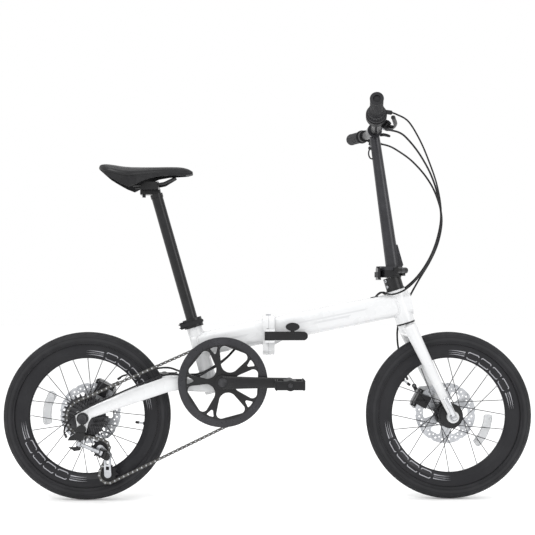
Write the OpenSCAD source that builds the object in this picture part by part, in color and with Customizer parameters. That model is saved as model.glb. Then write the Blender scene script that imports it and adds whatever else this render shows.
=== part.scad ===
// Folding bicycle with 18 inch wheels: two frame halves on an upright hinge, a
// folding handlepost, disc brakes, one chainring and a seven-speed freewheel.
// Units mm. +X is forward, +Y is the rider's left, +Z is up. The origin is on
// the ground, halfway between the axles, on the centre plane.

/* [Wheels] */
// Distance between the two axles
wheelbase = 939; // [929:1:949]
// Radius of the tyre at its tread
tyre_r = 216; // [214:1:218]
// Radius of each brake disc
disc_r = 80; // [70:1:80]

/* [Frame] */
// Height of the main tube's section, square to the tube
tube_h = 62.5; // [58:0.5:66]
// Width of the main tube's section
tube_w = 45; // [42:1:48]
// Outer radius of the seat tube
seat_tube_r = 20; // [19:0.5:21]
// Outer radius of the head tube
head_r = 24; // [23:0.5:26]
// Clearance between the hinge plates when the frame is shut
plate_gap = 0.6; // [0.4:0.1:1]

/* [Seat] */
// Outer radius of the seatpost
post_r = 15; // [14.5:0.1:15]
// Radial clearance of the seatpost in the seat tube
post_fit = 0.08; // [0.05:0.01:0.1]

/* [Drive] */
// Length of the cranks, axle to pedal axle
crank_len = 168; // [155:1:170]
// Thickness of the chainring's teeth
ring_t = 2.1; // [2:0.1:2.2]

/* [Bars] */
// Half of the handlebar's width
bar_half = 280; // [270:1:290]
// Radius of the handlebar under the grips
bar_r = 11.1; // [10.9:0.1:11.2]
// Radius of the grips
grip_r = 16; // [15:0.5:17]

/* [Hidden] */
$fn = 48;
FAR = 400;
WHITE = [0.93, 0.93, 0.93];
BLACK = [0.1, 0.1, 0.11];
GREY = [0.27, 0.27, 0.29];
STEEL = [0.72, 0.73, 0.75];
RUBBER = [0.16, 0.16, 0.17];

axle_z = 216;
rear_x = -wheelbase / 2;
front_x = wheelbase / 2;
// bottom bracket
bb = [-117.5, 0, 305];
// the seat tube leans back by 16.1 degrees
seat_a = 16.1;
seat_top = [-200.8, 0, 468.5];
function seat_pt(d) = seat_top + d * [-sin(seat_a), 0, cos(seat_a)];
// the main tube climbs forward by 11.31 degrees through this point
tube_a = 11.31;
tube_p = [0, 0, 435.2];
// frame hinge pin
pin_y = 34;
// steering axis, leaning back by 17 degrees
steer_a = 17;
steer_p = [358.8, 0, 456.3];
function steer_pt(d) = steer_p + d * [-sin(steer_a), 0, cos(steer_a)];
// handlepost hinge: its plane, its centre and its pin
fold_z = 592;
fold_c = [320, 0, fold_z];
fold_pin = fold_c + 34 * [cos(45), -sin(45), 0];
post_foot = [326, 0, 601];
bar_c = [278, 0, 959];
function bar_pt(y) = bar_c + max(0, (abs(y) - 42) / 238) * [-29, 0, 27]
  + [0, y, 0];
// chain line and the gear that the chain is on
chain_y = -44;
pitch = 12.7;
function gear_r(n) = pitch / (2 * sin(180 / n));
guide_p = [-428, 0, 137];
tension_p = [-408.5, 0, 72.5];
hang_p = [-472, 0, 188.5];
rear_disc_y = 48;
front_disc_y = 40;

function unit(v) = v / norm(v);
// centred rounded rectangle
module rrect(w, h, r) {
  square([w - 2 * r, h], center = true);
  square([w, h - 2 * r], center = true);
  for (i = [-1, 1], j = [-1, 1])
    translate([i * (w / 2 - r), j * (h / 2 - r)]) circle(r);
}
// a round bar between two points, which may taper
module rod(a, b, r, r2 = undef) {
  v = b - a;
  translate(a) rotate([0, acos(v.z / norm(v)), atan2(v.y, v.x)])
    cylinder(r1 = r, r2 = is_undef(r2) ? r : r2, h = norm(v));
}
// a cylinder across the bicycle, from y0 to y1
module across(x, z, y0, y1, r) {
  translate([x, y0, z]) rotate([-90, 0, 0]) cylinder(r = r, h = y1 - y0);
}
// a side view outline, thick from y0 to y1
module side(y0, y1) {
  translate([0, y1, 0]) rotate([90, 0, 0]) linear_extrude(y1 - y0) children();
}
// a profile of radius and offset, turned about an axle across the bicycle
module wheel_turn(x) {
  translate([x, 0, axle_z]) rotate([-90, 0, 0]) rotate_extrude($fn = 96)
    children();
}
// a skin over closed rings of points
module loft(rings) {
  n = len(rings[0]);
  m = len(rings);
  polyhedron([for (r = rings) each r], concat(
    [[for (i = [0:n - 1]) i]], [[for (i = [n - 1:-1:0]) (m - 1) * n + i]],
    [for (j = [0:m - 2], i = [0:n - 1])
      [j * n + i, (j + 1) * n + i, (j + 1) * n + (i + 1) % n]],
    [for (j = [0:m - 2], i = [0:n - 1])
      [j * n + i, (j + 1) * n + (i + 1) % n, j * n + (i + 1) % n]]),
    convexity = 8);
}
function power(c, e) = sign(c) * pow(abs(c), 2 / e);
// one ring square to X: centre y and z, half width, half height
function ring_x(x, y, z, w, h, e = 3.2, n = 20) = [for (i = [0:n - 1])
  let (t = 360 * i / n) [x, y + w * power(cos(t), e), z + h * power(sin(t), e)]];
// a cable swept along points
function path_t(p, i) = unit(p[min(i + 1, len(p) - 1)] - p[max(i - 1, 0)]);
function square_to(u, t) = unit(u - (u * t) * t);
module cable(p, r, n = 8) {
  m = len(p);
  us = [for (i = 0, u = square_to([0.31, 0.52, 0.8], path_t(p, 0)); i < m;
    i = i + 1, u = i < m ? square_to(u, path_t(p, i)) : u) u];
  loft([for (i = [0:m - 1]) let (w = cross(path_t(p, i), us[i]))
    [for (k = [0:n - 1]) p[i] + r * (cos(360 * k / n) * us[i]
      + sin(360 * k / n) * w)]]);
}
// the inside of the seat tube, where the post slides
module seat_bore() {
  rod(seat_pt(-260), seat_pt(40), post_r + post_fit);
}
// teeth around a gear
module gear2d(n, r, depth = 7.4) {
  circle(r - depth / 2, $fn = 96);
  for (i = [0:n - 1]) rotate(360 * i / n)
    polygon([[r - depth, -3.6], [r - 1, -2.6], [r + depth / 2, -0.9],
      [r + depth / 2, 0.9], [r - 1, 2.6], [r - depth, 3.6]]);
}

// ---------------------------------------------------------------- rear frame
// seat tube with the bottom bracket shell welded to its front
module seat_tube() color(WHITE) difference() {
  union() {
    rod(seat_pt(-202), seat_pt(-2), seat_tube_r);
    across(bb.x, bb.z, -34, 34, 20.5);
  }
  seat_bore();
  across(bb.x, bb.z, -35, 35, 17.4);
  // the slot that lets the clamp close on the post
  translate(seat_pt(-30)) rotate([0, -seat_a, 0]) translate([-30, -1.5, 0])
    cube([20, 3, 40]);
}
module tube_run(x0, x1, grow = 0) {
  translate(tube_p) rotate([0, 90 - tube_a, 0])
    translate([0, 0, x0 / cos(tube_a)]) linear_extrude((x1 - x0) / cos(tube_a))
    rrect(tube_h + 2 * grow, tube_w + 2 * grow, 19 + grow);
}
// a hinge plate's outline, seen from the front
module plate2d() {
  translate([0, 424]) rrect(tube_w + 17, 101, 17);
}
module plate(x0, x1) {
  translate([x0, 0, 0]) rotate([90, 0, 90]) linear_extrude(x1 - x0) plate2d();
}
// hinge knuckles on the left side, between two heights
module knuckle(z0, z1) {
  translate([0, pin_y, z0]) cylinder(r = 8, h = z1 - z0);
}
// rear half of the main tube with its hinge plate
module main_tube_rear() color(WHITE) difference() {
  union() {
    difference() {
      tube_run(-196, -8);
      tube_run(-220, 10, -2.6);
      translate([-15, -FAR / 2, 300]) cube([FAR, FAR, FAR]);
    }
    difference() {
      plate(-15, -plate_gap / 2);
      // the cables' way through
      translate([-30, 8, 436]) rotate([0, 90, 0]) cylinder(r = 11, h = 60);
      translate([0, pin_y, 395]) cylinder(r = 8.6, h = 18);
      translate([0, pin_y, 435]) cylinder(r = 8.6, h = 18);
    }
    for (z = [[374, 394.7], [413.3, 434.7], [453.3, 474]])
      intersection() {
        union() {
          knuckle(z[0], z[1]);
          translate([-15, pin_y - 12, z[0]])
            cube([15 - plate_gap / 2, 12, z[1] - z[0]]);
        }
        translate([-40, 0, 300]) cube([80, 80, 300]);
      }
  }
  rod(seat_pt(-260), seat_pt(60), seat_tube_r);
  translate([0, pin_y, 300]) cylinder(r = 4, h = 300);
  // cable exit under the tube
  translate([-112, 0, 360]) rotate([0, 40, 0]) translate([-8, -13, 0])
    cube([16, 26, 45]);
}
// one chainstay, on the right
module stay() {
  loft([for (s = [[-456, -68.5, 229, 4, 14], [-440, -65, 235, 7, 15.6],
      [-400, -57.5, 249.6, 8, 17.2], [-330, -46, 275.5, 8, 20],
      [-262, -35.5, 298, 7, 20.5], [-232, -33, 301, 6.8, 17.5],
      [-200, -27, 296, 8.5, 16], [-139, -23, 292, 10, 16]])
    ring_x(s[0], s[1], s[2], s[3], s[4])]);
}
// both chainstays, each with its dropout; the right one carries the hanger
module chainstays() color(WHITE) difference() {
  union() {
    stay();
    mirror([0, 1, 0]) stay();
    side(-71.5, -65) polygon([[-445, 244], [-484, 233], [-488, 224],
      [-484, 200], [-482, 180], [-472, 176], [-461, 182], [-455, 206],
      [-445, 222]]);
    side(65, 71.5) polygon([[-445, 244], [-484, 233], [-488, 224],
      [-482, 202], [-470, 196], [-457, 204], [-445, 222]]);
    // brake mount on the left stay, open around the caliper's pivot
    side(63.3, 67) difference() {
      polygon([[-456, 238], [-404, 250], [-404, 284], [-411, 291],
        [-420, 293], [-436, 303], [-448, 308], [-459, 303], [-461, 292],
        [-466, 262]]);
      translate([-438.8, 278.9]) circle(18.6);
      for (p = [[-450.6, 299.1], [-415.6, 282.1]]) translate(p) circle(2.6);
    }
    // bridge between the stays, in front of the tyre
    translate([-205, -30, 286]) cube([16, 60, 20]);
  }
  rod(seat_pt(-260), seat_pt(60), seat_tube_r);
  across(bb.x, bb.z, -60, 60, 20.5);
  across(rear_x, axle_z, -90, 90, 5);
  across(hang_p.x, hang_p.z, -90, -50, 5);
  // the disc, the gears and the chain have room
  across(rear_x, axle_z, 44, 52, disc_r + 4);
  for (i = [0:6]) across(rear_x, axle_z, gear_y(i) - 3, gear_y(i) + 3,
    gear_r(gears[i]) + 6.5);
}
module hinge_pin() color(STEEL) {
  translate([0, pin_y, 373]) cylinder(r = 4, h = 102);
  translate([0, pin_y, 370.5]) cylinder(r = 6.5, h = 3);
  translate([0, pin_y, 474.5]) cylinder(r = 6.5, h = 3);
}
module seat_clamp() color(BLACK) {
  seat_collar();
  clamp_skewer();
}
module seat_collar() difference() {
  union() {
    rod(seat_pt(-26), seat_pt(-2), 25);
    intersection() {
      translate(seat_pt(-23)) rotate([0, -seat_a, 0])
        translate([-34, -9, 0]) cube([20, 18, 18]);
      translate([-260, -50, 400]) cube([60, 100, 100]);
    }
  }
  rod(seat_pt(-60), seat_pt(10), seat_tube_r);
  translate(seat_pt(-50)) rotate([0, -seat_a, 0]) translate([-40, -1.5, 0])
    cube([30, 3, 80]);
  translate(clamp_eye) rotate([0, -seat_a, 0]) across(0, 0, -30, 30, 3);
}
// the clamp's skewer with its nut and the lever's pin
module clamp_skewer() translate(clamp_eye) rotate([0, -seat_a, 0]) {
  across(0, 0, -17, 14, 2.3);
  across(0, 0, 9.3, 14, 6);
  translate([0, -17, -6.5]) cylinder(r = 2.44, h = 13);
}
// the clamp's skewer, its nut and its cam lever, which lies forward on the right
clamp_eye = seat_pt(-14) + 29.5 * [-cos(seat_a), 0, -sin(seat_a)];
clamp_piv = clamp_eye + [0, -17, 0];
module seat_clamp_lever() color(BLACK) translate(clamp_piv)
  rotate([0, -seat_a, 0]) difference() {
    union() {
      translate([0, 0, -6]) cylinder(r = 7, h = 12);
      translate([-2, -14.5, -5]) cube([11, 12.5, 10]);
      translate([-2, -14.5, -5]) cube([56, 5, 10]);
      translate([54, -9.5, 0]) rotate([90, 0, 0]) cylinder(r = 5, h = 5);
    }
    translate([0, 0, -10]) cylinder(r = 2.5, h = 20);
    translate([-9, -7.6, -2.7]) cube([20, 16, 5.4]);
  }
module bottom_bracket() color(STEEL) difference() {
  union() {
    across(bb.x, bb.z, -34, 34, 17.4);
    across(bb.x, bb.z, -37, -34, 20);
    across(bb.x, bb.z, 34, 37, 20);
  }
  across(bb.x, bb.z, -60, 60, 8.56);
}
module rear_axle() color(STEEL) {
  across(rear_x, axle_z, -82, 82, 5);
  for (s = [-1, 1]) scale([1, s, 1]) difference() {
    union() {
      across(rear_x, axle_z, 71.5, 74, 15);
      across(rear_x, axle_z, 74, 81, 11);
    }
    across(rear_x, axle_z, 60, 90, 5);
  }
}

// ---------------------------------------------------------------- disc brakes
// A caliper around the disc's edge. x points away from the axle, y out to the
// left of the disc and z along its edge
module caliper() {
  difference() {
    union() {
      translate([-21, -15, -16]) cube([35, 30, 32]);
      rotate([-90, 0, 0]) translate([-5, 0, 0]) cylinder(r = 18, h = 19);
      translate([2, 6, -25]) cube([12, 9, 50]);
    }
    translate([-60, -3.2, -60]) cube([66 + 3, 6.4, 120]);
    rotate([-90, 0, 0]) translate([-5, 0, 16]) cylinder(r = 4, h = 9);
    for (z = [-19.5, 19.5]) translate([8, 30, z]) rotate([90, 0, 0])
      cylinder(r = 2.6, h = 60);
  }
  // the two pads
  for (s = [-1, 1]) translate([-8, s * 2.25, 0]) rotate([90, 0, 0])
    cylinder(r = 10, h = 1.9, center = true);
}
// the actuating arm on the caliper's outer face
module caliper_arm() difference() {
  union() {
    rotate([-90, 0, 0]) translate([-5, 0, 19.4]) cylinder(r = 11, h = 4);
    rotate([-90, 0, 0]) translate([-5, 0, 16.3]) cylinder(r = 3.94, h = 4);
    translate([-5, 19.4, -5]) cube([40, 4, 10]);
    rotate([-90, 0, 0]) translate([35, 0, 19.4]) cylinder(r = 6, h = 4);
  }
  rotate([-90, 0, 0]) translate([35, 0, 10]) cylinder(r = 2, h = 20);
}
module at_rear_caliper() {
  translate([rear_x, rear_disc_y, axle_z]) rotate([0, -64, 0])
    translate([75, 0, 0]) children();
}
module at_front_caliper() {
  translate([front_x, front_disc_y, axle_z]) rotate([0, -151, 0])
    translate([75, 0, 0]) children();
}
module rear_caliper() color(BLACK) at_rear_caliper() caliper();
module front_caliper() color(BLACK) at_front_caliper() caliper();
module rear_caliper_arm() color(BLACK) at_rear_caliper() rear_arm_place()
  caliper_arm();
module front_caliper_arm() color(BLACK) at_front_caliper() front_arm_place()
  caliper_arm();
// the arms point up and forward at rest
module rear_arm_place() translate([-5, 0, 0]) rotate([0, 44, 0])
  translate([5, 0, 0]) children();
module front_arm_place() translate([-5, 0, 0]) rotate([0, 35, 0])
  translate([5, 0, 0]) children();
module disc(x, y) color(STEEL) side(y - 0.9, y + 0.9) translate([x, axle_z])
  difference() {
    circle(disc_r, $fn = 96);
    circle(15);
    for (i = [0:11]) rotate(30 * i) translate([disc_r + 7, 0]) circle(9.5);
    for (i = [0:5]) rotate(60 * i) {
      hull() {
        translate([37, 0]) circle(7);
        translate([53, 7]) circle(6);
        translate([53, -7]) circle(6);
      }
      translate([20, 10]) circle(2.6);
    }
    for (i = [0:23]) rotate(15 * i + 7.5) translate([disc_r - 10, 0])
      circle(2.6);
    for (i = [0:23]) rotate(15 * i) translate([disc_r - 15, 0]) circle(2);
  }
module rear_disc() disc(rear_x, rear_disc_y);
module front_disc() disc(front_x, front_disc_y);

// ---------------------------------------------------------------- wheels
module rim(x, va) color(BLACK) difference() {
  wheel_turn(x) polygon([[184, -12], [176, -12], [163, -11], [150, -5],
    [148, -3], [148, 3], [150, 5], [163, 11], [176, 12], [184, 12],
    [184, 10], [178, 10], [178, 7], [176, 5], [176, -5], [178, -7],
    [178, -10], [184, -10]]);
  wheel_turn(x) polygon([[174, -9], [163, -8.6], [151.5, -3], [151.5, 3],
    [163, 8.6], [174, 9]]);
  translate([x, 0, axle_z]) for (i = [0:23]) rotate([0, 15 * i, 0])
    translate([0, 0, 140]) cylinder(r = 2.1, h = 14);
  translate([x, 0, axle_z]) rotate([0, va, 0]) translate([0, 0, 140])
    cylinder(r = 3.2, h = 50);
}
module tyre(x, va) color(RUBBER) {
  wheel_turn(x) {
    difference() {
      translate([tyre_r - 20, 0]) circle(20, $fn = 64);
      translate([tyre_r - 20, 0]) circle(17, $fn = 64);
      translate([100, -30]) square([84.4, 60]);
    }
    for (s = [-1, 1]) polygon([[178, s * 10], [178, s * 7.5],
      [186.5, s * 12.2], [188, s * 16], [184.4, s * 15.4], [184.4, s * 10]]);
  }
  // the inner tube with its valve
  difference() {
    union() {
      wheel_turn(x) translate([tyre_r - 18, 0]) circle(14.6);
      translate([x, 0, axle_z]) rotate([0, va, 0]) translate([0, 0, 122])
        cylinder(r = 3, h = 66);
    }
    wheel_turn(x) translate([tyre_r - 18, 0]) circle(13.5);
    translate([x, 0, axle_z]) rotate([0, va, 0]) translate([0, 0, 120])
      cylinder(r = 1, h = 70);
  }
}
// twelve spokes on each flange, crossing, each with its nipple at the rim
module spokes(x, yl, yr, ra, sr, ry) color(STEEL) {
  translate([x, 0, axle_z]) for (k = [0:5], s = [0, 1]) {
    a = 60 * k + 15 * s;
    y = s == 0 ? yr : yl;
    o = s == 0 ? -1 : 1;
    spoke(a, a - 60, y + 4.2 * o, sr);
    spoke(a + 30, a + 90, y - 2.2 * o, sr);
  }
  // reflector clipped across the spokes
  translate([x, 0, axle_z]) rotate([0, ra, 0]) rotate([-90, 0, 0])
    rotate([0, 0, -24]) rotate_extrude(angle = 48, $fn = 96)
    translate([96, ry]) square([23, 5]);
}
module spoke(a0, a1, y, sr) {
  p = [sr * cos(a0), y, sr * sin(a0)];
  q = [146 * cos(a1), 0, 146 * sin(a1)];
  d = unit(q - p);
  rod(p, q, 1);
  rod([143 * cos(a1), 0, 143 * sin(a1)], [154 * cos(a1), 0, 154 * sin(a1)], 2);
}
module hub(x, yl, yr, l, r, fr, bore, disc_y) color(BLACK) difference() {
  wheel_turn(x) polygon([[bore, l[0]], [9, l[0]], [10, yr - 6], [r, yr - 3],
    [r, yr - 1], [fr, yr - 1], [fr, yr + 1], [r, yr + 1], [r - 1, yr + 8],
    [r - 1, yl - 8], [r, yl - 1], [fr, yl - 1], [fr, yl + 1], [15, yl + 1.2],
    [22, disc_y - 4], [22, disc_y - 0.9], [14.9, disc_y - 0.9],
    [14.9, disc_y + 1], [10, disc_y + 2], [10, l[1]], [bore, l[1]]]);
}
module rear_hub() hub(rear_x, 30, -26, [-64, 64], 16, 23, 5.05,
  rear_disc_y);
module rear_spokes() spokes(rear_x, 30, -26, 190, 21, 14.6);
module rear_rim() rim(rear_x, 98);
module rear_tyre() tyre(rear_x, 98);
module front_hub() hub(front_x, 25, -28, [-49.5, 49.5], 27, 32,
  4.65, front_disc_y);
module front_spokes() spokes(front_x, 25, -28, 24, 30, 14);
module front_rim() rim(front_x, -52.5);
module front_tyre() tyre(front_x, -52.5);

// ---------------------------------------------------------------- drive
gears = [28, 24, 22, 20, 18, 16, 14];
function gear_y(i) = chain_y + 9.6 - 4.8 * i;
module sprockets() color(GREY) difference() {
  union() {
    for (i = [0:6]) side(gear_y(i) - 0.9, gear_y(i) + 0.9)
      translate([rear_x, axle_z]) gear2d(gears[i], gear_r(gears[i]), 7);
    across(rear_x, axle_z, -64.4, -32.5, 17.5);
  }
  across(rear_x, axle_z, -100, 0, 10.6);
}
module chainring() color(BLACK) difference() {
  union() {
    side(chain_y - ring_t / 2, chain_y + ring_t / 2) translate([bb.x, bb.z])
      gear2d(52, gear_r(52), 7);
    // guard ring outside the chain
    side(chain_y - 7.5, chain_y - 5) translate([bb.x, bb.z]) circle(114.5,
      $fn = 96);
    for (i = [0:9]) rotate_about_bb(36 * i + 3) across(bb.x + 97.8, bb.z,
      chain_y - 6, chain_y, 2.6);
  }
  side(chain_y - 12, chain_y + 12) translate([bb.x, bb.z]) circle(95,
    $fn = 96);
}
module rotate_about_bb(a) {
  translate(bb) rotate([0, a, 0]) translate(-bb) children();
}
// right crank with its five-armed spider
module crank_right() color(BLACK) difference() {
  union() {
    side(chain_y - 9, chain_y - 3) translate([bb.x, bb.z]) difference() {
      circle(95, $fn = 96);
      for (i = [0:4]) rotate(72 * i + 33) {
        spider_gap();
        small_gap();
      }
    }
    across(bb.x, bb.z, -64, -46, 19);
    loft([for (s = [[0, -64, 17, 8], [60, -67, 15, 7.5], [120, -71, 13.5, 7],
      [crank_len + 4, -74, 13, 7]]) ring_x(bb.x + s[0], s[1], bb.z, s[3], s[2])]);
    across(bb.x + crank_len, bb.z, -81, -67, 13.5);
  }
  across(bb.x, bb.z, -90, -30, 8);
  across(bb.x, bb.z, -90, -63, 12);
  across(bb.x + crank_len, bb.z, -100, -50, 5.5);
}
// the wide window between two arms, and the small one in an arm's fork
module spider_gap() {
  hull() {
    for (a = [18, 54]) rotate(a) translate([80.5, 0]) circle(12, $fn = 32);
    rotate(36) translate([51, 0]) circle(23, $fn = 48);
  }
}
module small_gap() {
  polygon([[91, -8], [92, 0], [91, 8], [89, 9], [76, 2.5], [75, 0],
    [76, -2.5], [89, -9]]);
}
module crank_left() color(BLACK) difference() {
  union() {
    across(bb.x, bb.z, 46, 64, 18);
    loft([for (s = [[crank_len + 4, 74, 13, 7], [120, 71, 13.5, 7],
      [60, 67, 15, 7.5], [0, 64, 17, 8]])
      ring_x(bb.x - s[0], s[1], bb.z, s[3], s[2])]);
    across(bb.x - crank_len, bb.z, 67, 81, 13.5);
  }
  across(bb.x, bb.z, 30, 90, 8);
  across(bb.x, bb.z, 63, 90, 12);
  across(bb.x - crank_len, bb.z, 50, 100, 5.5);
}
// the crank spindle with its two bolts, and the two pedal spindles
module spindles() color(STEEL) {
  across(bb.x, bb.z, -62, 62, 8);
  for (s = [-1, 1]) scale([1, s, 1]) across(bb.x, bb.z, 63, 68, 11.5);
  across(bb.x + crank_len, bb.z, -164, -67, 5.5);
  across(bb.x - crank_len, bb.z, 67, 164, 5.5);
}
// a platform pedal: a frame of bars around a barrel that turns on the spindle
module pedal(s) color(BLACK) translate([bb.x - s * crank_len, 0, bb.z])
  scale([1, s, 1]) difference() {
    union() {
      translate([0, 124, 0]) linear_extrude(22, center = true) difference() {
        rrect(74, 78, 10);
        for (i = [-1, 1]) translate([i * 22.5, 0]) rrect(15, 54, 5);
      }
      across(0, 0, 84, 163, 13.5);
      for (x = [-33.5, 33.5]) for (y = [95, 112, 136, 153]) translate([x, y, 0])
        cylinder(r = 1.6, h = 26, center = true);
    }
    across(0, 0, 80, 200, 5.56);
  }
module pedal_right() pedal(-1);
module pedal_left() pedal(1);

// chain: two rows of link plates with pins, around the chainring, the gear and
// both pulleys
function tangent(c1, r1, c2, r2) = let (d = c2 - c1, a = atan2(d[1], d[0]),
  b = acos((r1 - r2) / norm(d))) [a, b];
function arc_pts(c, r, a0, a1, n) = [for (i = [0:n])
  let (a = a0 + (a1 - a0) * i / n) [c[0] + r * cos(a), c[1] + r * sin(a)]];
module chain_loop(o) {
  cr = [bb.x, bb.z];
  cs = [rear_x, axle_z];
  g = [guide_p.x, guide_p.z];
  t = [tension_p.x, tension_p.z];
  rr = gear_r(52);
  rs = gear_r(22);
  rp = gear_r(11);
  up = tangent(cs, rs, cr, rr);
  low = tangent(t, rp, cr, rr);
  top = up[0] + up[1];
  bot = low[0] - low[1];
  // from the gear's back down to the front of the guide pulley, and across to
  // the back of the tension pulley
  d1 = g - cs;
  c1 = atan2(d1[1], d1[0]) - acos((rs + rp) / norm(d1));
  d2 = t - g;
  c2 = atan2(d2[1], d2[0]) + acos((rp + rp) / norm(d2));
  polygon(concat(
    arc_pts(cr, rr + o, top, bot, 28),
    arc_pts(t, rp + o, bot + 360, c2 - 180 + 360, 8),
    arc_pts(g, rp - o, c2, c1 + 180, 8),
    arc_pts(cs, rs + o, c1 + 360, top, 14)));
}
module chain() color(GREY) {
  for (s = [-1, 1]) side(chain_y + s * 2.6 - 0.7, chain_y + s * 2.6 + 0.7)
    difference() {
      chain_loop(4.1);
      chain_loop(-4.1);
    }
}

// ---------------------------------------------------------------- derailleur
module derailleur_mount() color(BLACK) {
  across(hang_p.x, hang_p.z, -76, -65.3, 5);
  difference() {
    union() {
      across(hang_p.x, hang_p.z, -80, -71.6, 12);
      side(-82, -71.6) polygon([[-482, 182], [-500, 172], [-507, 160],
        [-504, 146], [-488, 136], [-474, 138], [-468, 156], [-462, 180]]);
    }
    translate([link_a.x, -60, link_a.z]) translate([-30, -25, -8.6])
      cube([60, 40, 17.2]);
  }
  translate(link_a) rotate([0, 25.7, 0]) cylinder(r = 3, h = 26, center = true);
}
link_a = [-478, -77, 154];
link_b = [-424, -60, 128];
link_n = [sin(25.7), 0, cos(25.7)];
module derailleur_link() color(STEEL) difference() {
  union() {
    for (p = [link_a, link_b]) translate(p) rotate([0, 25.7, 0])
      cylinder(r = 6, h = 11, center = true);
    rod(link_a + 7 * unit(link_b - link_a), link_b - 7 * unit(link_b - link_a),
      5);
  }
  for (p = [link_a, link_b]) translate(p) rotate([0, 25.7, 0])
    cylinder(r = 3.06, h = 40, center = true);
}
module derailleur_knuckle() color(BLACK) difference() {
  union() {
    translate(link_b) rotate([0, 25.7, 0]) for (z = [-10, 6])
      translate([0, 0, z]) cylinder(r = 8, h = 4);
    translate(link_b) rotate([0, 25.7, 0]) cylinder(r = 3, h = 20,
      center = true);
    translate(link_b) rotate([0, 25.7, 0]) translate([6.5, -8, -10])
      cube([6, 16, 20]);
    across(cage_p.x, cage_p.z, -61, -53, 9);
  }
  across(cage_p.x, cage_p.z, -58.5, -51, 4);
}
cage_p = [-411, 0, 118];
module cage_plate() {
  hull() {
    translate([guide_p.x, guide_p.z]) circle(10, $fn = 24);
    translate([cage_p.x, cage_p.z]) circle(11, $fn = 24);
  }
  hull() {
    translate([cage_p.x, cage_p.z]) circle(8, $fn = 24);
    translate([tension_p.x, tension_p.z]) circle(9, $fn = 24);
  }
}
module derailleur_cage() color(STEEL) {
  difference() {
    union() {
      for (y = [[-51.5, -49.8], [-38.2, -36.5]]) side(y[0], y[1])
        difference() {
          cage_plate();
          // window between the pivot and the lower pulley
          translate([-410.2, 102]) rotate(-3) square([7, 9], center = true);
          translate([-409.3, 88]) rotate(-3) square([8, 9], center = true);
        }
      across(cage_p.x, cage_p.z, -58, -51.5, 3.94);
    }
    for (p = [guide_p, tension_p]) across(p.x, p.z, -60, -30, 2.5);
  }
  for (p = [guide_p, tension_p]) difference() {
    across(p.x, p.z, -52.3, -35.7, 2.5);
  }
}
module pulley(p) color(BLACK) difference() {
  side(chain_y - 1, chain_y + 1) translate([p.x, p.z])
    gear2d(11, gear_r(11), 6);
  across(p.x, p.z, -60, -30, 2.56);
}
module guide_pulley() pulley(guide_p);
module tension_pulley() pulley(tension_p);

// ---------------------------------------------------------------- seat
module seatpost() color(BLACK) difference() {
  rod(seat_pt(-112), seat_pt(326), post_r);
  rod(seat_pt(-113), seat_pt(320), post_r - 2.6);
}
rail_a = 3.6;
rail_c = [-312, 0, 814];
module rails(r) for (s = [-1, 1])
  cable([[-352, s * 26, 811.5], [-284, s * 22, 815.7], [-272, s * 20, 818],
    [-260, s * 15, 824.5], [-243, s * 9, 834]], r, 12);
module saddle_rails() color(STEEL) rails(3.5);
module saddle_clamp() color(BLACK) difference() {
  union() {
    rod(seat_pt(326), seat_pt(336), 16.5);
    translate([-335, -12, 790]) cube([52, 24, 12]);
    translate([-332, -31, 801]) cube([46, 62, 8]);
    translate([-330, -31, 809]) cube([42, 62, 12]);
    for (x = [-326, -292]) translate([x, 0, 783]) cylinder(r = 4.5, h = 42);
  }
  rails(3.5);
}
// saddle sections: x, half width, top, under the cover, underside
saddle_s = [[-440, 26, 861, 858, 854], [-434, 46, 866.5, 855, 848],
  [-420, 62, 867.5, 848, 836], [-400, 70, 865, 843, 824],
  [-378, 72, 861.5, 838, 812], [-358, 70, 860, 836, 804],
  [-340, 63, 860, 838, 812], [-318, 50, 860.5, 842, 824],
  [-290, 36, 861.5, 846, 834], [-262, 27, 862.5, 848, 838],
  [-232, 22, 862, 848, 839], [-212, 19, 858, 848, 840],
  [-199, 13, 851, 846.5, 843]];
function dome(x, w, t, b, n = 20) = [for (i = [0:n])
  let (a = 180 * i / n) [x, w * power(cos(a), 2.8), b + (t - b)
    * power(sin(a), 2.4)]];
module saddle_cover() color(RUBBER)
  loft([for (s = saddle_s) dome(s[0], s[1], s[2], s[3])]);
function trough(x, w, t, b) = [[x, w, t], [x, -w, t], [x, -w + 1, b],
  [x, w - 1, b]];
module saddle_base() color(BLACK) difference() {
  loft([for (s = saddle_s) trough(s[0], s[1] * 0.97, s[3], s[4])]);
  loft([for (s = [for (k = [1:11]) saddle_s[k]])
    trough(s[0] + (s[0] < -430 ? 4 : s[0] > -215 ? -4 : 0),
      max(4, s[1] * 0.97 - 4), s[3] - 4, s[4] - 40)]);
}

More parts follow.
